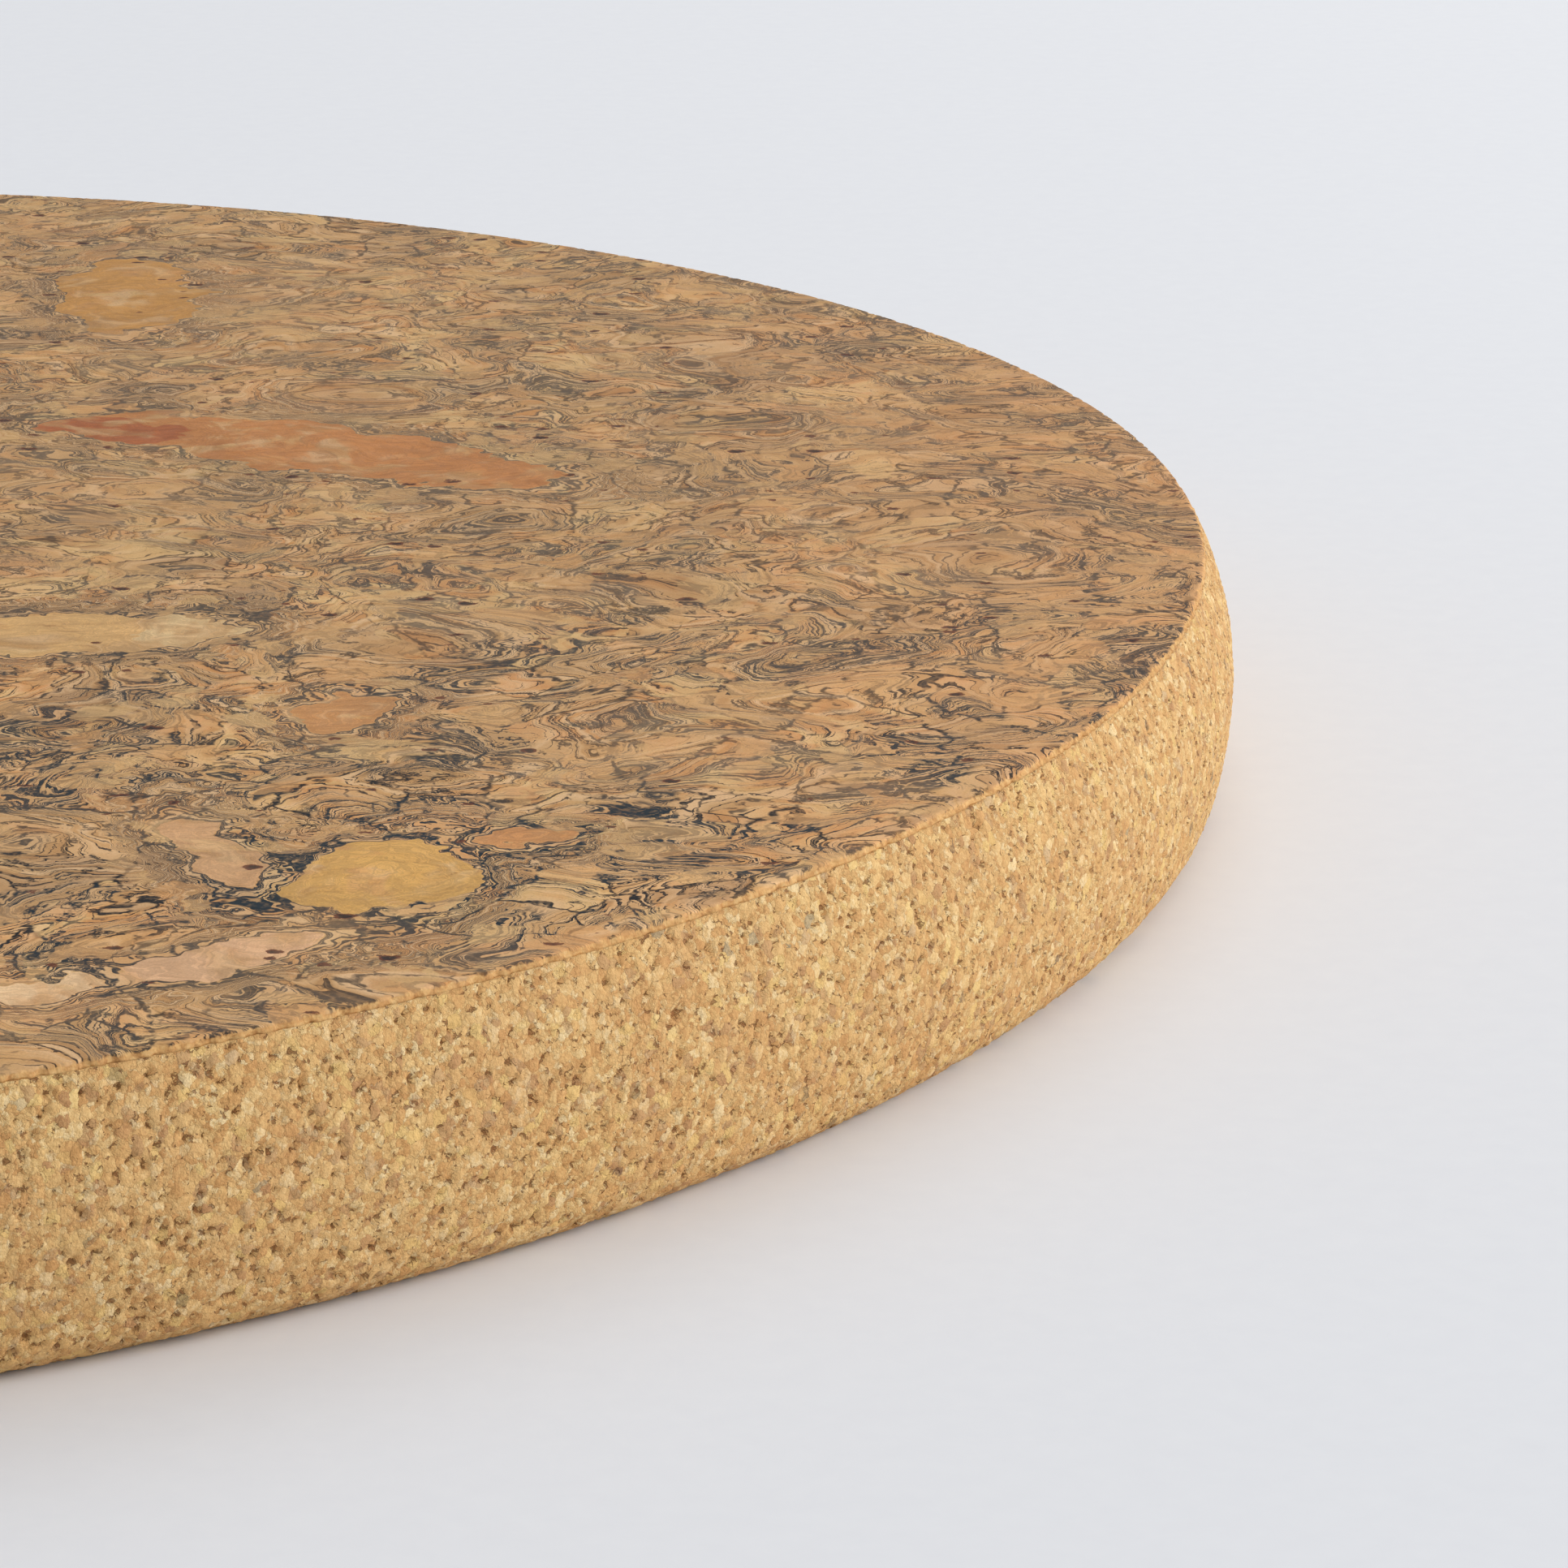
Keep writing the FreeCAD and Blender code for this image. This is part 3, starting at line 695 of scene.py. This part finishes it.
def scraps(tree, place, size):
    """Scraps of a size: three numbers of each one's own, and the way in from its edge."""
    cell = add(tree, "TexVoronoi", [place, 1 / size])
    edge = add(tree, "TexVoronoi", [place, 1 / size], feature="DISTANCE_TO_EDGE")
    own = add(tree, "SeparateXYZ", [cell.outputs["Color"]])
    return own, add(tree, "Math", [edge, size], operation="MULTIPLY")


def bark_lines(tree, along, pitch, half, soft):
    """Thin lines where a slowly changing number crosses the middle of a ragged noise."""
    level = add(tree, "TexNoise", [along, pitch, 2.0, 0.6], noise_dimensions="1D")
    level = add(tree, "Math", [level, 0.5], operation="SUBTRACT")
    level = add(tree, "Math", [level], operation="ABSOLUTE")
    return add(tree, "MapRange", [level, half, soft, 1.0, 0.0], **SOFT_EDGE)


def patches(tree, place, size, low, high, most=1.0, least=0.0):
    """Soft-edged patches of noise of a size."""
    noise = add(tree, "TexNoise", [place, 1 / size, 2.0, 0.5])
    return add(tree, "MapRange", [noise, low, high, least, most], **SOFT_EDGE)


# Cork veneer, sliced, sanded and sealed: smooth and half matt, marbled in tans, with blue-grey
# bark lines too thin to leave a step.
sealed_veneer, tree, shader = new_finish(
    "cork_veneer_sealed", Roughness=0.62, IOR=1.46, Specular_IOR_Level=0.08
)
place = add(tree, "TexCoord").outputs["Object"]
place = add(tree, "VectorMath", [place, (1 / MM, 1 / MM, 0.0)], operation="MULTIPLY")
# The marbling follows a number that changes slowly over the sheet, bent by its pressing at
# four sizes. Close round an island it follows the island's outline instead.
flow = drifted(tree, place, 30.0, 16.0, 1.0)
bends = drifted(tree, flow, 9.0, 8.0)
ragged = drifted(tree, bends, 1.6, 1.1, 2.0, 0.6)
frayed = drifted(tree, ragged, 0.35, 0.25, 1.0, 0.6)
along = add(tree, "TexNoise", [frayed, 1 / MARBLING_SIZE, 1.0, 0.4])
along = add(tree, "Math", [along, MARBLING_LINES], operation="MULTIPLY")
outline = drifted(tree, drifted(tree, place, 8.0, 11.0, 3.0, 0.6), 1.0, 0.9)
island_shade, in_island, by_island = colour(ISLANDS[0][3]), 0.0, 0.0
for (x, y), (half_x, half_y), turn, code in ISLANDS:
    reach = add(tree, "VectorMath", [outline, (x, y, 0.0)], operation="SUBTRACT")
    reach = add(tree, "VectorRotate", {"Vector": reach, "Angle": math.radians(-turn)}, rotation_type="Z_AXIS")
    reach = add(tree, "VectorMath", [reach, (1 / half_x, 1 / half_y, 0.0)], operation="MULTIPLY")
    reach = add(tree, "VectorMath", [reach], operation="LENGTH")
    narrow = min(half_x, half_y)
    outside = add(tree, "Math", [reach, narrow, -narrow], operation="MULTIPLY_ADD")
    near = add(tree, "MapRange", [outside, *RINGED, 1.0, 0.0], **SOFT_EDGE)
    rings = add(tree, "Math", [outside, RING_START])
    along = add(tree, "Mix", [near, along, rings])
    by_island = add(tree, "Math", [by_island, near], operation="MAXIMUM")
    within_it = add(tree, "MapRange", [outside, -0.12, 0.0, 1.0, 0.0], **SOFT_EDGE)
    in_island = add(tree, "Math", [in_island, within_it], operation="MAXIMUM")
    island_shade = add(tree, "Mix", [within_it, island_shade, colour(code)], data_type="RGBA")
# Smaller scraps of plain inner cork among the marbled ones.
calm_spots = drifted(tree, drifted(tree, flow, 6.0, 8.0, 3.0, 0.6), 0.8, 0.6)
calm_own, calm_in = scraps(tree, calm_spots, CALM_SCRAP)
chosen = add(tree, "Math", [calm_own.outputs[2], 0.7], operation="GREATER_THAN")
core_of = add(tree, "MapRange", [calm_in, 0.25, 0.4, 0.0, 0.7], **SOFT_EDGE)
core_of = add(tree, "Math", [core_of, chosen], operation="MULTIPLY")
calm_shade = add(tree, "ValToRGB", [calm_own], stops=CALM_SHADES)
island_shade = add(tree, "Mix", [in_island, calm_shade, island_shade], data_type="RGBA")
in_island = add(tree, "Math", [in_island, core_of], operation="MAXIMUM")
# The ground: each scrap's own tan, clusters of smaller chips, and paler and deeper stripes.
own, way_in = scraps(tree, frayed, SCRAP)
chip_own, chip_way_in = scraps(tree, frayed, CHIP)
cloud = add(tree, "TexNoise", [ragged, 1 / 4.0, 3.0, 0.5])
tone = add(tree, "Math", [cloud, 0.7, -0.35], operation="MULTIPLY_ADD")
tone = add(tree, "Math", [tone, own])
paint = add(tree, "ValToRGB", [tone], stops=SHADES)
chippy = patches(tree, bends, 9.0, 0.48, 0.56)
chip_paint = add(tree, "ValToRGB", [chip_own], stops=SHADES)
chip_share = add(tree, "Math", [chippy, 0.65], operation="MULTIPLY")
paint = add(tree, "Mix", [chip_share, paint, chip_paint], data_type="RGBA")
stripe = add(tree, "TexNoise", [along, 0.45, 2.0], noise_dimensions="1D")
pale = add(tree, "MapRange", [stripe, 0.42, 0.7, 0.0, 0.75])
paint = add(tree, "Mix", [pale, paint, colour("e2ba8c")], data_type="RGBA")
deep = add(tree, "MapRange", [stripe, 0.5, 0.25, 0.0, 0.45])
paint = add(tree, "Mix", [deep, paint, colour("ab784a")], data_type="RGBA")
# Cork wood's own faint year lines, much straighter than the marbling, with short brown ticks.
years = add(tree, "VectorMath", [ragged, (0.13, 0.95, 0.0)], operation="MULTIPLY")
years = add(tree, "TexNoise", [years, 1.6, 3.0, 0.6])
ticks = add(tree, "MapRange", [years, 0.66, 0.72, 0.0, 0.5], **SOFT_EDGE)
years = add(tree, "MapRange", [years, 0.45, 0.66, 0.0, 0.5])
years = add(tree, "Math", [years, ticks])
late_wood = add(tree, "VectorMath", [island_shade, (0.66, 0.6, 0.55)], operation="MULTIPLY")
island_paint = add(tree, "Mix", [years, island_shade, late_wood], data_type="RGBA")
whole = patches(tree, ragged, 4.0, 0.35, 0.55, 0.95, 0.3)
whole = add(tree, "Math", [in_island, whole], operation="MULTIPLY")
paint = add(tree, "Mix", [whole, paint, island_paint], data_type="RGBA")
broad = add(tree, "TexNoise", [place, 1 / 14.0, 3.0, 0.55])
broad = add(tree, "MapRange", [broad, 0.3, 0.7, 0.86, 1.12])
paint = add(tree, "VectorMath", [paint, broad], operation="SCALE")
# The scraps at the board's right are a redder bark.
up_board = add(tree, "SeparateXYZ", [place])
reddish = add(tree, "MapRange", [up_board, 100.0, 150.0, 0.0, 0.4])
paint = add(tree, "Mix", [reddish, paint, colour("e2a26a")], data_type="RGBA")
# Painted light and shade: the face is painted a shade lighter towards the board's lower edge and darker
# towards its top.
painted_far_shade = add(tree, "MapRange", [up_board.outputs[1], -90.0, 0.0, 1.08, 0.93])
paint = add(tree, "VectorMath", [paint, painted_far_shade], operation="SCALE")

# Bark: lines close together in bands and round the islands, single ones elsewhere, seams
# between scraps, and blots where a line lies flat in the sheet.
clear_of = add(tree, "Math", [in_island, -0.8, 1.0], operation="MULTIPLY_ADD")
banded = add(tree, "TexNoise", [bends, 1 / 8.0, 1.0])
dense = bark_lines(tree, along, 1.5, 0.02, 0.06)
zone = add(tree, "MapRange", [banded, 0.43, 0.54, 0.0, 1.0], **SOFT_EDGE)
zone = add(tree, "Math", [zone, by_island], operation="MAXIMUM")
khaki = add(tree, "Math", [zone, 0.16], operation="MULTIPLY")
khaki = add(tree, "Math", [khaki, clear_of], operation="MULTIPLY")
paint = add(tree, "Mix", [khaki, paint, colour("a98c64")], data_type="RGBA")
dense = add(tree, "Math", [dense, zone], operation="MULTIPLY")
shifted = add(tree, "Math", [own.outputs[1], 17.0, along], operation="MULTIPLY_ADD")
sparse = bark_lines(tree, shifted, 0.75, 0.01, 0.028)
sparse = add(tree, "Math", [sparse, patches(tree, ragged, 3.5, 0.36, 0.46)], operation="MULTIPLY")
seam = add(tree, "MapRange", [way_in, 0.06, 0.24, 1.0, 0.0], **SOFT_EDGE)
seam = add(tree, "Math", [seam, patches(tree, place, 2.5, 0.4, 0.5)], operation="MULTIPLY")
chip_seam = add(tree, "MapRange", [chip_way_in, 0.02, 0.14, 1.0, 0.0], **SOFT_EDGE)
chip_seam = add(tree, "Math", [chip_seam, patches(tree, place, 1.6, 0.42, 0.56, 0.8)], operation="MULTIPLY")
chip_seam = add(tree, "Math", [chip_seam, chippy], operation="MULTIPLY")
bark = add(tree, "Math", [dense, sparse], operation="MAXIMUM")
bark = add(tree, "Math", [bark, seam], operation="MAXIMUM")
bark = add(tree, "Math", [bark, chip_seam], operation="MAXIMUM")
bark = add(tree, "Math", [bark, clear_of], operation="MULTIPLY")
blot = add(tree, "TexNoise", [frayed, 1 / 2.0, 3.0, 0.55])
blot = add(tree, "MapRange", [blot, 0.585, 0.63, 0.0, 1.0], **SOFT_EDGE)
blot = add(tree, "Math", [blot, clear_of], operation="MULTIPLY")
# Cork's cells are 0.03 mm across, too fine to show: drawn at 0.28 mm in the blots, and at
# 0.16 mm all over.
cells = add(tree, "TexNoise", [place, 1 / 0.28, 1.0])
cells = add(tree, "MapRange", [cells, 0.35, 0.55, 0.45, 1.0], **SOFT_EDGE)
blot = add(tree, "Math", [blot, cells], operation="MULTIPLY")
bark = add(tree, "Math", [bark, blot], operation="MAXIMUM")
bark = add(tree, "Math", [bark, patches(tree, place, 0.5, 0.2, 0.55, 1.0, 0.7)], operation="MULTIPLY")
# The bark lines are fainter towards the board's top.
faint = add(tree, "MapRange", [up_board.outputs[1], -80.0, 10.0, 1.0, 0.76])
bark = add(tree, "Math", [bark, faint], operation="MULTIPLY")
bark = add(tree, "Math", [bark, patches(tree, place, 26.0, 0.35, 0.55, 1.0, 0.75)], operation="MULTIPLY")
ink = add(tree, "Mix", [zone, colour("1c1b1d"), colour("1d2930")], data_type="RGBA")
paint = add(tree, "Mix", [bark, paint, ink], data_type="RGBA")
# Lenticels, maroon with a nearly black heart.
pore, heart = lenticels(tree, place)
pore_shade = add(tree, "Mix", [heart, colour("683927"), colour("2b1e1f")], data_type="RGBA")
pore = add(tree, "Math", [pore, 0.9], operation="MULTIPLY")
paint = add(tree, "Mix", [pore, paint, pore_shade], data_type="RGBA")
# The sheet's cut edge is plain cork, and its line is crumbled.
solid = add(tree, "TexCoord").outputs["Object"]
height = add(tree, "SeparateXYZ", [solid])
edge_places = add(tree, "VectorMath", [solid, 1 / MM], operation="SCALE")
crumbs = add(tree, "TexNoise", [edge_places, 1 / 0.55, 3.0, 0.7])
edge_tone = add(tree, "ValToRGB", [crumbs], stops=EDGE_SHADES)
below_face = add(tree, "Math", [height.outputs[2], -1 / MM, FACE_TOP], operation="MULTIPLY_ADD")
ragged_depth = add(tree, "Math", [crumbs, 0.5, -0.25], operation="MULTIPLY_ADD")
out = add(tree, "VectorMath", [place], operation="LENGTH")
at_rim = add(tree, "MapRange", [out, face_radius - 0.9, face_radius, 0.0, 1.0])
ragged_depth = add(tree, "Math", [ragged_depth, at_rim], operation="MULTIPLY")
below_face = add(tree, "Math", [below_face, ragged_depth])
cut_edge = add(tree, "MapRange", [below_face, 0.08, 0.2, 0.0, 0.85])
cut_edge = add(tree, "Math", [cut_edge, at_rim], operation="MULTIPLY")
paint = add(tree, "Mix", [cut_edge, paint, edge_tone], data_type="RGBA")
speck = add(tree, "TexNoise", [place, 1 / 0.16, 2.0, 0.6])
speck = add(tree, "MapRange", [speck, 0.25, 0.75, 0.86, 1.14])
paint = add(tree, "VectorMath", [paint, speck], operation="SCALE")
wire(tree, paint, shader, "Base Color")
dull = add(tree, "TexNoise", [place, 1 / 1.5, 3.0, 0.6])
dull = add(tree, "MapRange", [dull, 0.3, 0.7, 0.5, 0.66])
wire(tree, dull, shader, "Roughness")
level = add(tree, "Math", [pore, -0.05], operation="MULTIPLY")
level = add(tree, "Math", [speck, 0.03, level], operation="MULTIPLY_ADD")
bump = add(tree, "Bump", {"Strength": 0.5, "Distance": MM, "Height": level})
wire(tree, bump, shader, "Normal")

face_veneer_cork.data.materials.clear()
face_veneer_cork.data.materials.append(sealed_veneer)
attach(face_veneer_cork, "root")
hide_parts("face_veneer")

# --- The hanger blocks -----------------------------------------------------------------------
# Two planed beech blocks, glued into the core's pockets flush with the back. Each has a seat
# for its keyhole plate, a hollow behind the slot for a wall screw's head, and two pilot holes.

EASED = 0.25


def eased_copy(node, name, width):
    """The node's own shape with its sharp edges softened, as a new piece."""
    shape = bmesh.new()
    shape.from_mesh(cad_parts[node].data)
    bmesh.ops.remove_doubles(shape, verts=shape.verts, dist=1e-6)
    flat = math.radians(1.0)
    bmesh.ops.dissolve_limit(shape, angle_limit=flat, verts=shape.verts, edges=shape.edges)
    sharp = [e for e in shape.edges if e.is_manifold and e.calc_face_angle() > math.radians(35)]
    bmesh.ops.bevel(
        shape, geom=sharp, offset=width * MM, segments=2, profile=0.5, affect="EDGES",
        clamp_overlap=True,
    )
    bmesh.ops.triangulate(shape, faces=[f for f in shape.faces if len(f.verts) > 4])
    mesh = bpy.data.meshes.new(name)
    shape.to_mesh(mesh)
    shape.free()
    mesh.shade_smooth()
    mesh.set_sharp_from_angle(angle=math.radians(32))
    piece = bpy.data.objects.new(name, mesh)
    scene.collection.objects.link(piece)
    return piece


# Beech, planed and left bare: pinkish tan, with faint rings along its length and the short
# darker dashes of its rays.
planed_beech, tree, shader = new_finish(
    "beech_planed", Roughness=0.6, IOR=1.5, Specular_IOR_Level=0.35
)
place = add(tree, "TexCoord").outputs["Object"]
place = add(tree, "VectorMath", [place, 1 / MM], operation="SCALE")
bent = drifted(tree, place, 18.0, 3.0)
across = add(tree, "SeparateXYZ", [bent])
ring_at = add(tree, "Math", [across.outputs[0], 0.42], operation="MULTIPLY")
ring_at = add(tree, "Math", [across.outputs[2], 0.17, ring_at], operation="MULTIPLY_ADD")
growth = add(tree, "Math", [ring_at], operation="FRACT")
late = add(tree, "MapRange", [growth, 0.55, 1.0, 0.0, 0.55], **SOFT_EDGE)
paint = add(tree, "Mix", [late, colour("dfb68a"), colour("c4915f")], data_type="RGBA")
grain_places = add(tree, "VectorMath", [place, (1.0, 0.06, 1.0)], operation="MULTIPLY")
vessel = add(tree, "TexNoise", [grain_places, 1 / 0.35, 3.0, 0.6])
vessel = add(tree, "MapRange", [vessel, 0.3, 0.7, 0.84, 1.1])
paint = add(tree, "VectorMath", [paint, vessel], operation="SCALE")
ray_places = add(tree, "VectorMath", [place, (1.0, 0.22, 1.0)], operation="MULTIPLY")
ray = add(tree, "TexVoronoi", [ray_places, 1 / 0.5])
ray = add(tree, "MapRange", [ray, 0.16, 0.24, 0.55, 0.0], **SOFT_EDGE)
paint = add(tree, "Mix", [ray, paint, colour("9a643c")], data_type="RGBA")
wire(tree, paint, shader, "Base Color")
level = add(tree, "Math", [vessel, 0.03], operation="MULTIPLY")
level = add(tree, "Math", [ray, -0.02, level], operation="MULTIPLY_ADD")
bump = add(tree, "Bump", {"Strength": 0.6, "Distance": MM, "Height": level})
wire(tree, bump, shader, "Normal")

for side in HANGERS:
    block = eased_copy(f"hanger_block_{side}", f"hanger_block_{side}_beech", EASED)
    block.data.materials.append(planed_beech)
    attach(block, "root")
    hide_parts(f"hanger_block_{side}")

# --- The keyhole plates ----------------------------------------------------------------------
# Steel strip, blanked with a keyhole and two countersunk holes, tumbled so that its edges are
# soft, and bright zinc plated. One sits in each block, a little below the board's back.

PLATE_EDGE = 0.18

# Zinc on steel, bright plated and tumbled: a bluish metal with fine random scuffs.
bright_zinc, tree, shader = new_finish("zinc_bright_plated", Metallic=1.0, Roughness=0.3)
place = add(tree, "TexCoord").outputs["Object"]
place = add(tree, "VectorMath", [place, 1 / MM], operation="SCALE")
patchy = add(tree, "TexNoise", [place, 1 / 4.0, 3.0, 0.6])
tint = add(tree, "Mix", [patchy, colour("bcc1c8"), colour("d3d4d2")], data_type="RGBA")
wire(tree, tint, shader, "Base Color")
scuffs = add(tree, "TexNoise", [place, 1 / 0.25, 4.0, 0.7])
dull = add(tree, "MapRange", [scuffs, 0.3, 0.7, 0.22, 0.42])
wire(tree, dull, shader, "Roughness")
level = add(tree, "Math", [scuffs, 0.01], operation="MULTIPLY")
bump = add(tree, "Bump", {"Strength": 0.4, "Distance": MM, "Height": level})
wire(tree, bump, shader, "Normal")

for side in HANGERS:
    plate = eased_copy(f"keyhole_plate_{side}", f"keyhole_plate_{side}_steel", PLATE_EDGE)
    plate.data.materials.append(bright_zinc)
    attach(plate, "root")
    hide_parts(f"keyhole_plate_{side}")

# --- The plate screws ------------------------------------------------------------------------
# Small countersunk wood screws with a cross recess and a rolled thread, zinc plated like the
# plates. Two hold each plate, driven through its countersunk holes into the block.

SCREW_LENGTH = 10.0
HEAD_RADIUS = 2.9
HEAD_LAND = 0.2
CONE_END = 1.7
ROOT_RADIUS = 1.02
CREST_RADIUS = 1.42
THREAD_PITCH = 1.15
POINT_LENGTH = 2.6
RECESS_SPAN = 3.2
RECESS_WIDTH = 0.7
RECESS_DEPTH = 1.1
TURNS = 40


def screw_radius(depth, turn):
    """The screw's radius at a depth below its head's face and a share of a turn."""
    if depth <= HEAD_LAND:
        return HEAD_RADIUS - 0.08 * max(0.0, 1 - depth / 0.08)
    if depth <= CONE_END:
        share = (depth - HEAD_LAND) / (CONE_END - HEAD_LAND)
        return HEAD_RADIUS + (ROOT_RADIUS + 0.25 - HEAD_RADIUS) * share
    phase = ((depth / THREAD_PITCH) - turn) % 1.0
    crest = max(0.0, 1 - abs(phase - 0.5) / 0.28)
    fade = min(1.0, max(0.0, (depth - CONE_END - 0.5) / 0.8))
    taper = min(1.0, max(0.03, (SCREW_LENGTH - depth) / POINT_LENGTH)) ** 0.8
    neck = (ROOT_RADIUS + 0.25) * (1 - fade) + ROOT_RADIUS * fade
    return taper * (neck + (CREST_RADIUS - ROOT_RADIUS) * crest * fade)


def screw_piece(name, x, y, face):
    """A screw with its head's face at a height, pointing up into the block."""
    depths = [0.0, 0.03, 0.08, HEAD_LAND] + [HEAD_LAND + (CONE_END - HEAD_LAND) * i / 5 for i in range(1, 6)]
    threads = round((SCREW_LENGTH - CONE_END) / 0.09)
    depths += [CONE_END + (SCREW_LENGTH - CONE_END) * i / threads for i in range(1, threads + 1)]
    shape = bmesh.new()
    rings = []
    for depth in depths:
        loop = []
        for i in range(TURNS):
            angle = 2 * math.pi * i / TURNS
            radius = screw_radius(depth, i / TURNS)
            loop.append(shape.verts.new((radius * math.cos(angle), radius * math.sin(angle), depth)))
        rings.append(loop)
    for low, high in zip(rings, rings[1:]):
        for i in range(TURNS):
            j = (i + 1) % TURNS
            shape.faces.new((low[i], low[j], high[j], high[i]))
    shape.faces.new(rings[0][::-1])
    shape.faces.new(rings[-1])
    mesh = bpy.data.meshes.new(name)
    shape.to_mesh(mesh)
    shape.free()
    piece = bpy.data.objects.new(name, mesh)
    scene.collection.objects.link(piece)
    cutter_shape = bmesh.new()
    for turn in (0, 1):
        size = (RECESS_SPAN, RECESS_WIDTH) if turn == 0 else (RECESS_WIDTH, RECESS_SPAN)
        top, deep = -0.4, RECESS_DEPTH
        corners = []
        for z, grow in ((top, 1.15), (deep, 0.55)):
            for sx, sy in ((-1, -1), (1, -1), (1, 1), (-1, 1)):
                wide = size[0] * (grow if turn == 0 else 1.0)
                tall = size[1] * (grow if turn == 1 else 1.0)
                corners.append(cutter_shape.verts.new((sx * wide / 2, sy * tall / 2, z)))
        a = corners
        for quad in ((3, 2, 1, 0), (4, 5, 6, 7), (0, 1, 5, 4), (1, 2, 6, 5), (2, 3, 7, 6), (3, 0, 4, 7)):
            cutter_shape.faces.new([a[i] for i in quad])
    cutter_mesh = bpy.data.meshes.new("recess")
    cutter_shape.to_mesh(cutter_mesh)
    cutter_shape.free()
    cutter = bpy.data.objects.new("recess", cutter_mesh)
    scene.collection.objects.link(cutter)
    cut = piece.modifiers.new("recess", "BOOLEAN")
    cut.object, cut.operation, cut.solver, cut.use_self = cutter, "DIFFERENCE", "EXACT", True
    seen = bpy.context.evaluated_depsgraph_get()
    done = bpy.data.meshes.new_from_object(piece.evaluated_get(seen))
    piece.modifiers.clear()
    piece.data = done
    bpy.data.objects.remove(cutter)
    done.transform(Matrix.Translation((x, y, face)) @ Matrix.Scale(MM, 4))
    done.shade_smooth()
    done.set_sharp_from_angle(angle=math.radians(40))
    return piece


# Zinc on rolled steel: as bright as the plates, and a little duller.
screw_zinc, tree, shader = new_finish("zinc_plated_screw", Metallic=1.0, Roughness=0.32)
place = add(tree, "TexCoord").outputs["Object"]
place = add(tree, "VectorMath", [place, 1 / MM], operation="SCALE")
patchy = add(tree, "TexNoise", [place, 1 / 1.2, 3.0, 0.6])
tint = add(tree, "Mix", [patchy, colour("b4b9c0"), colour("cfcfca")], data_type="RGBA")
wire(tree, tint, shader, "Base Color")
dull = add(tree, "MapRange", [patchy, 0.3, 0.7, 0.25, 0.45])
wire(tree, dull, shader, "Roughness")

for side in HANGERS:
    for end in ("upper", "lower"):
        node = f"plate_screw_{side}_{end}"
        low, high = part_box(node)
        middle = (low + high) / 2
        screw = screw_piece(f"{node}_zinc", middle.x, middle.y, low.z)
        screw.data.materials.clear()
        screw.data.materials.append(screw_zinc)
        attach(screw, "root")
        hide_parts(node)

# --- The studio ------------------------------------------------------------------------------
# A sheet of pale paper under the board, a large soft light at its right, a weaker one behind
# it, and the pale room all round.

FLOOR_HALF = 6.0
floor_mesh = bpy.data.meshes.new("paper_floor")
corners = [(x * FLOOR_HALF, y * FLOOR_HALF, 0) for x, y in ((-1, -1), (1, -1), (1, 1), (-1, 1))]
floor_mesh.from_pydata(corners, [], [(0, 1, 2, 3)])
floor = bpy.data.objects.new("paper_floor", floor_mesh)
scene.collection.objects.link(floor)
paper, tree, shader = new_finish("studio_paper", Roughness=0.9, Specular_IOR_Level=0.2)
place = add(tree, "TexCoord").outputs["Object"]
fibre = add(tree, "TexNoise", [place, 400.0, 3.0, 0.6])
tint = add(tree, "Mix", [fibre, colour("e6e7ea"), colour("ebecee")], data_type="RGBA")
wire(tree, tint, shader, "Base Color")
floor_mesh.materials.append(paper)
floor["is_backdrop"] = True


def soft_light(name, place, width, power):
    """A white square panel light aimed at the board."""
    lamp = bpy.data.lights.new(name, "AREA")
    lamp.size, lamp.energy = width, power
    panel = bpy.data.objects.new(name, lamp)
    panel.location = place
    panel.rotation_euler = (-Vector(place)).to_track_quat("-Z", "Y").to_euler()
    scene.collection.objects.link(panel)


soft_light("right_window", (2.0, 0.0, 0.8), 1.2, 32.8)
soft_light("back_window", (0.5, 1.5, 1.5), 1.3, 9.3)

world = bpy.data.worlds.new("pale_room")
world.use_nodes = True
world.node_tree.nodes["Background"].inputs["Color"].default_value = colour("f2f4f8")
world.node_tree.nodes["Background"].inputs["Strength"].default_value = 0.585
scene.world = world
scene.view_settings.view_transform = "Standard"

CAMERA_PLACE = (0.11512, -0.43009, 0.12874)
CAMERA_PITCH = 17.06
CAMERA_LENS = 121.8
lens = bpy.data.cameras.new("camera")
lens.lens, lens.sensor_width = CAMERA_LENS, 36.0
lens.clip_start, lens.clip_end = 0.01, 50.0
camera = bpy.data.objects.new("camera", lens)
camera.location = CAMERA_PLACE
camera.rotation_euler = (math.radians(90 - CAMERA_PITCH), 0, 0)
scene.collection.objects.link(camera)
scene.camera = camera

low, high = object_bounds()
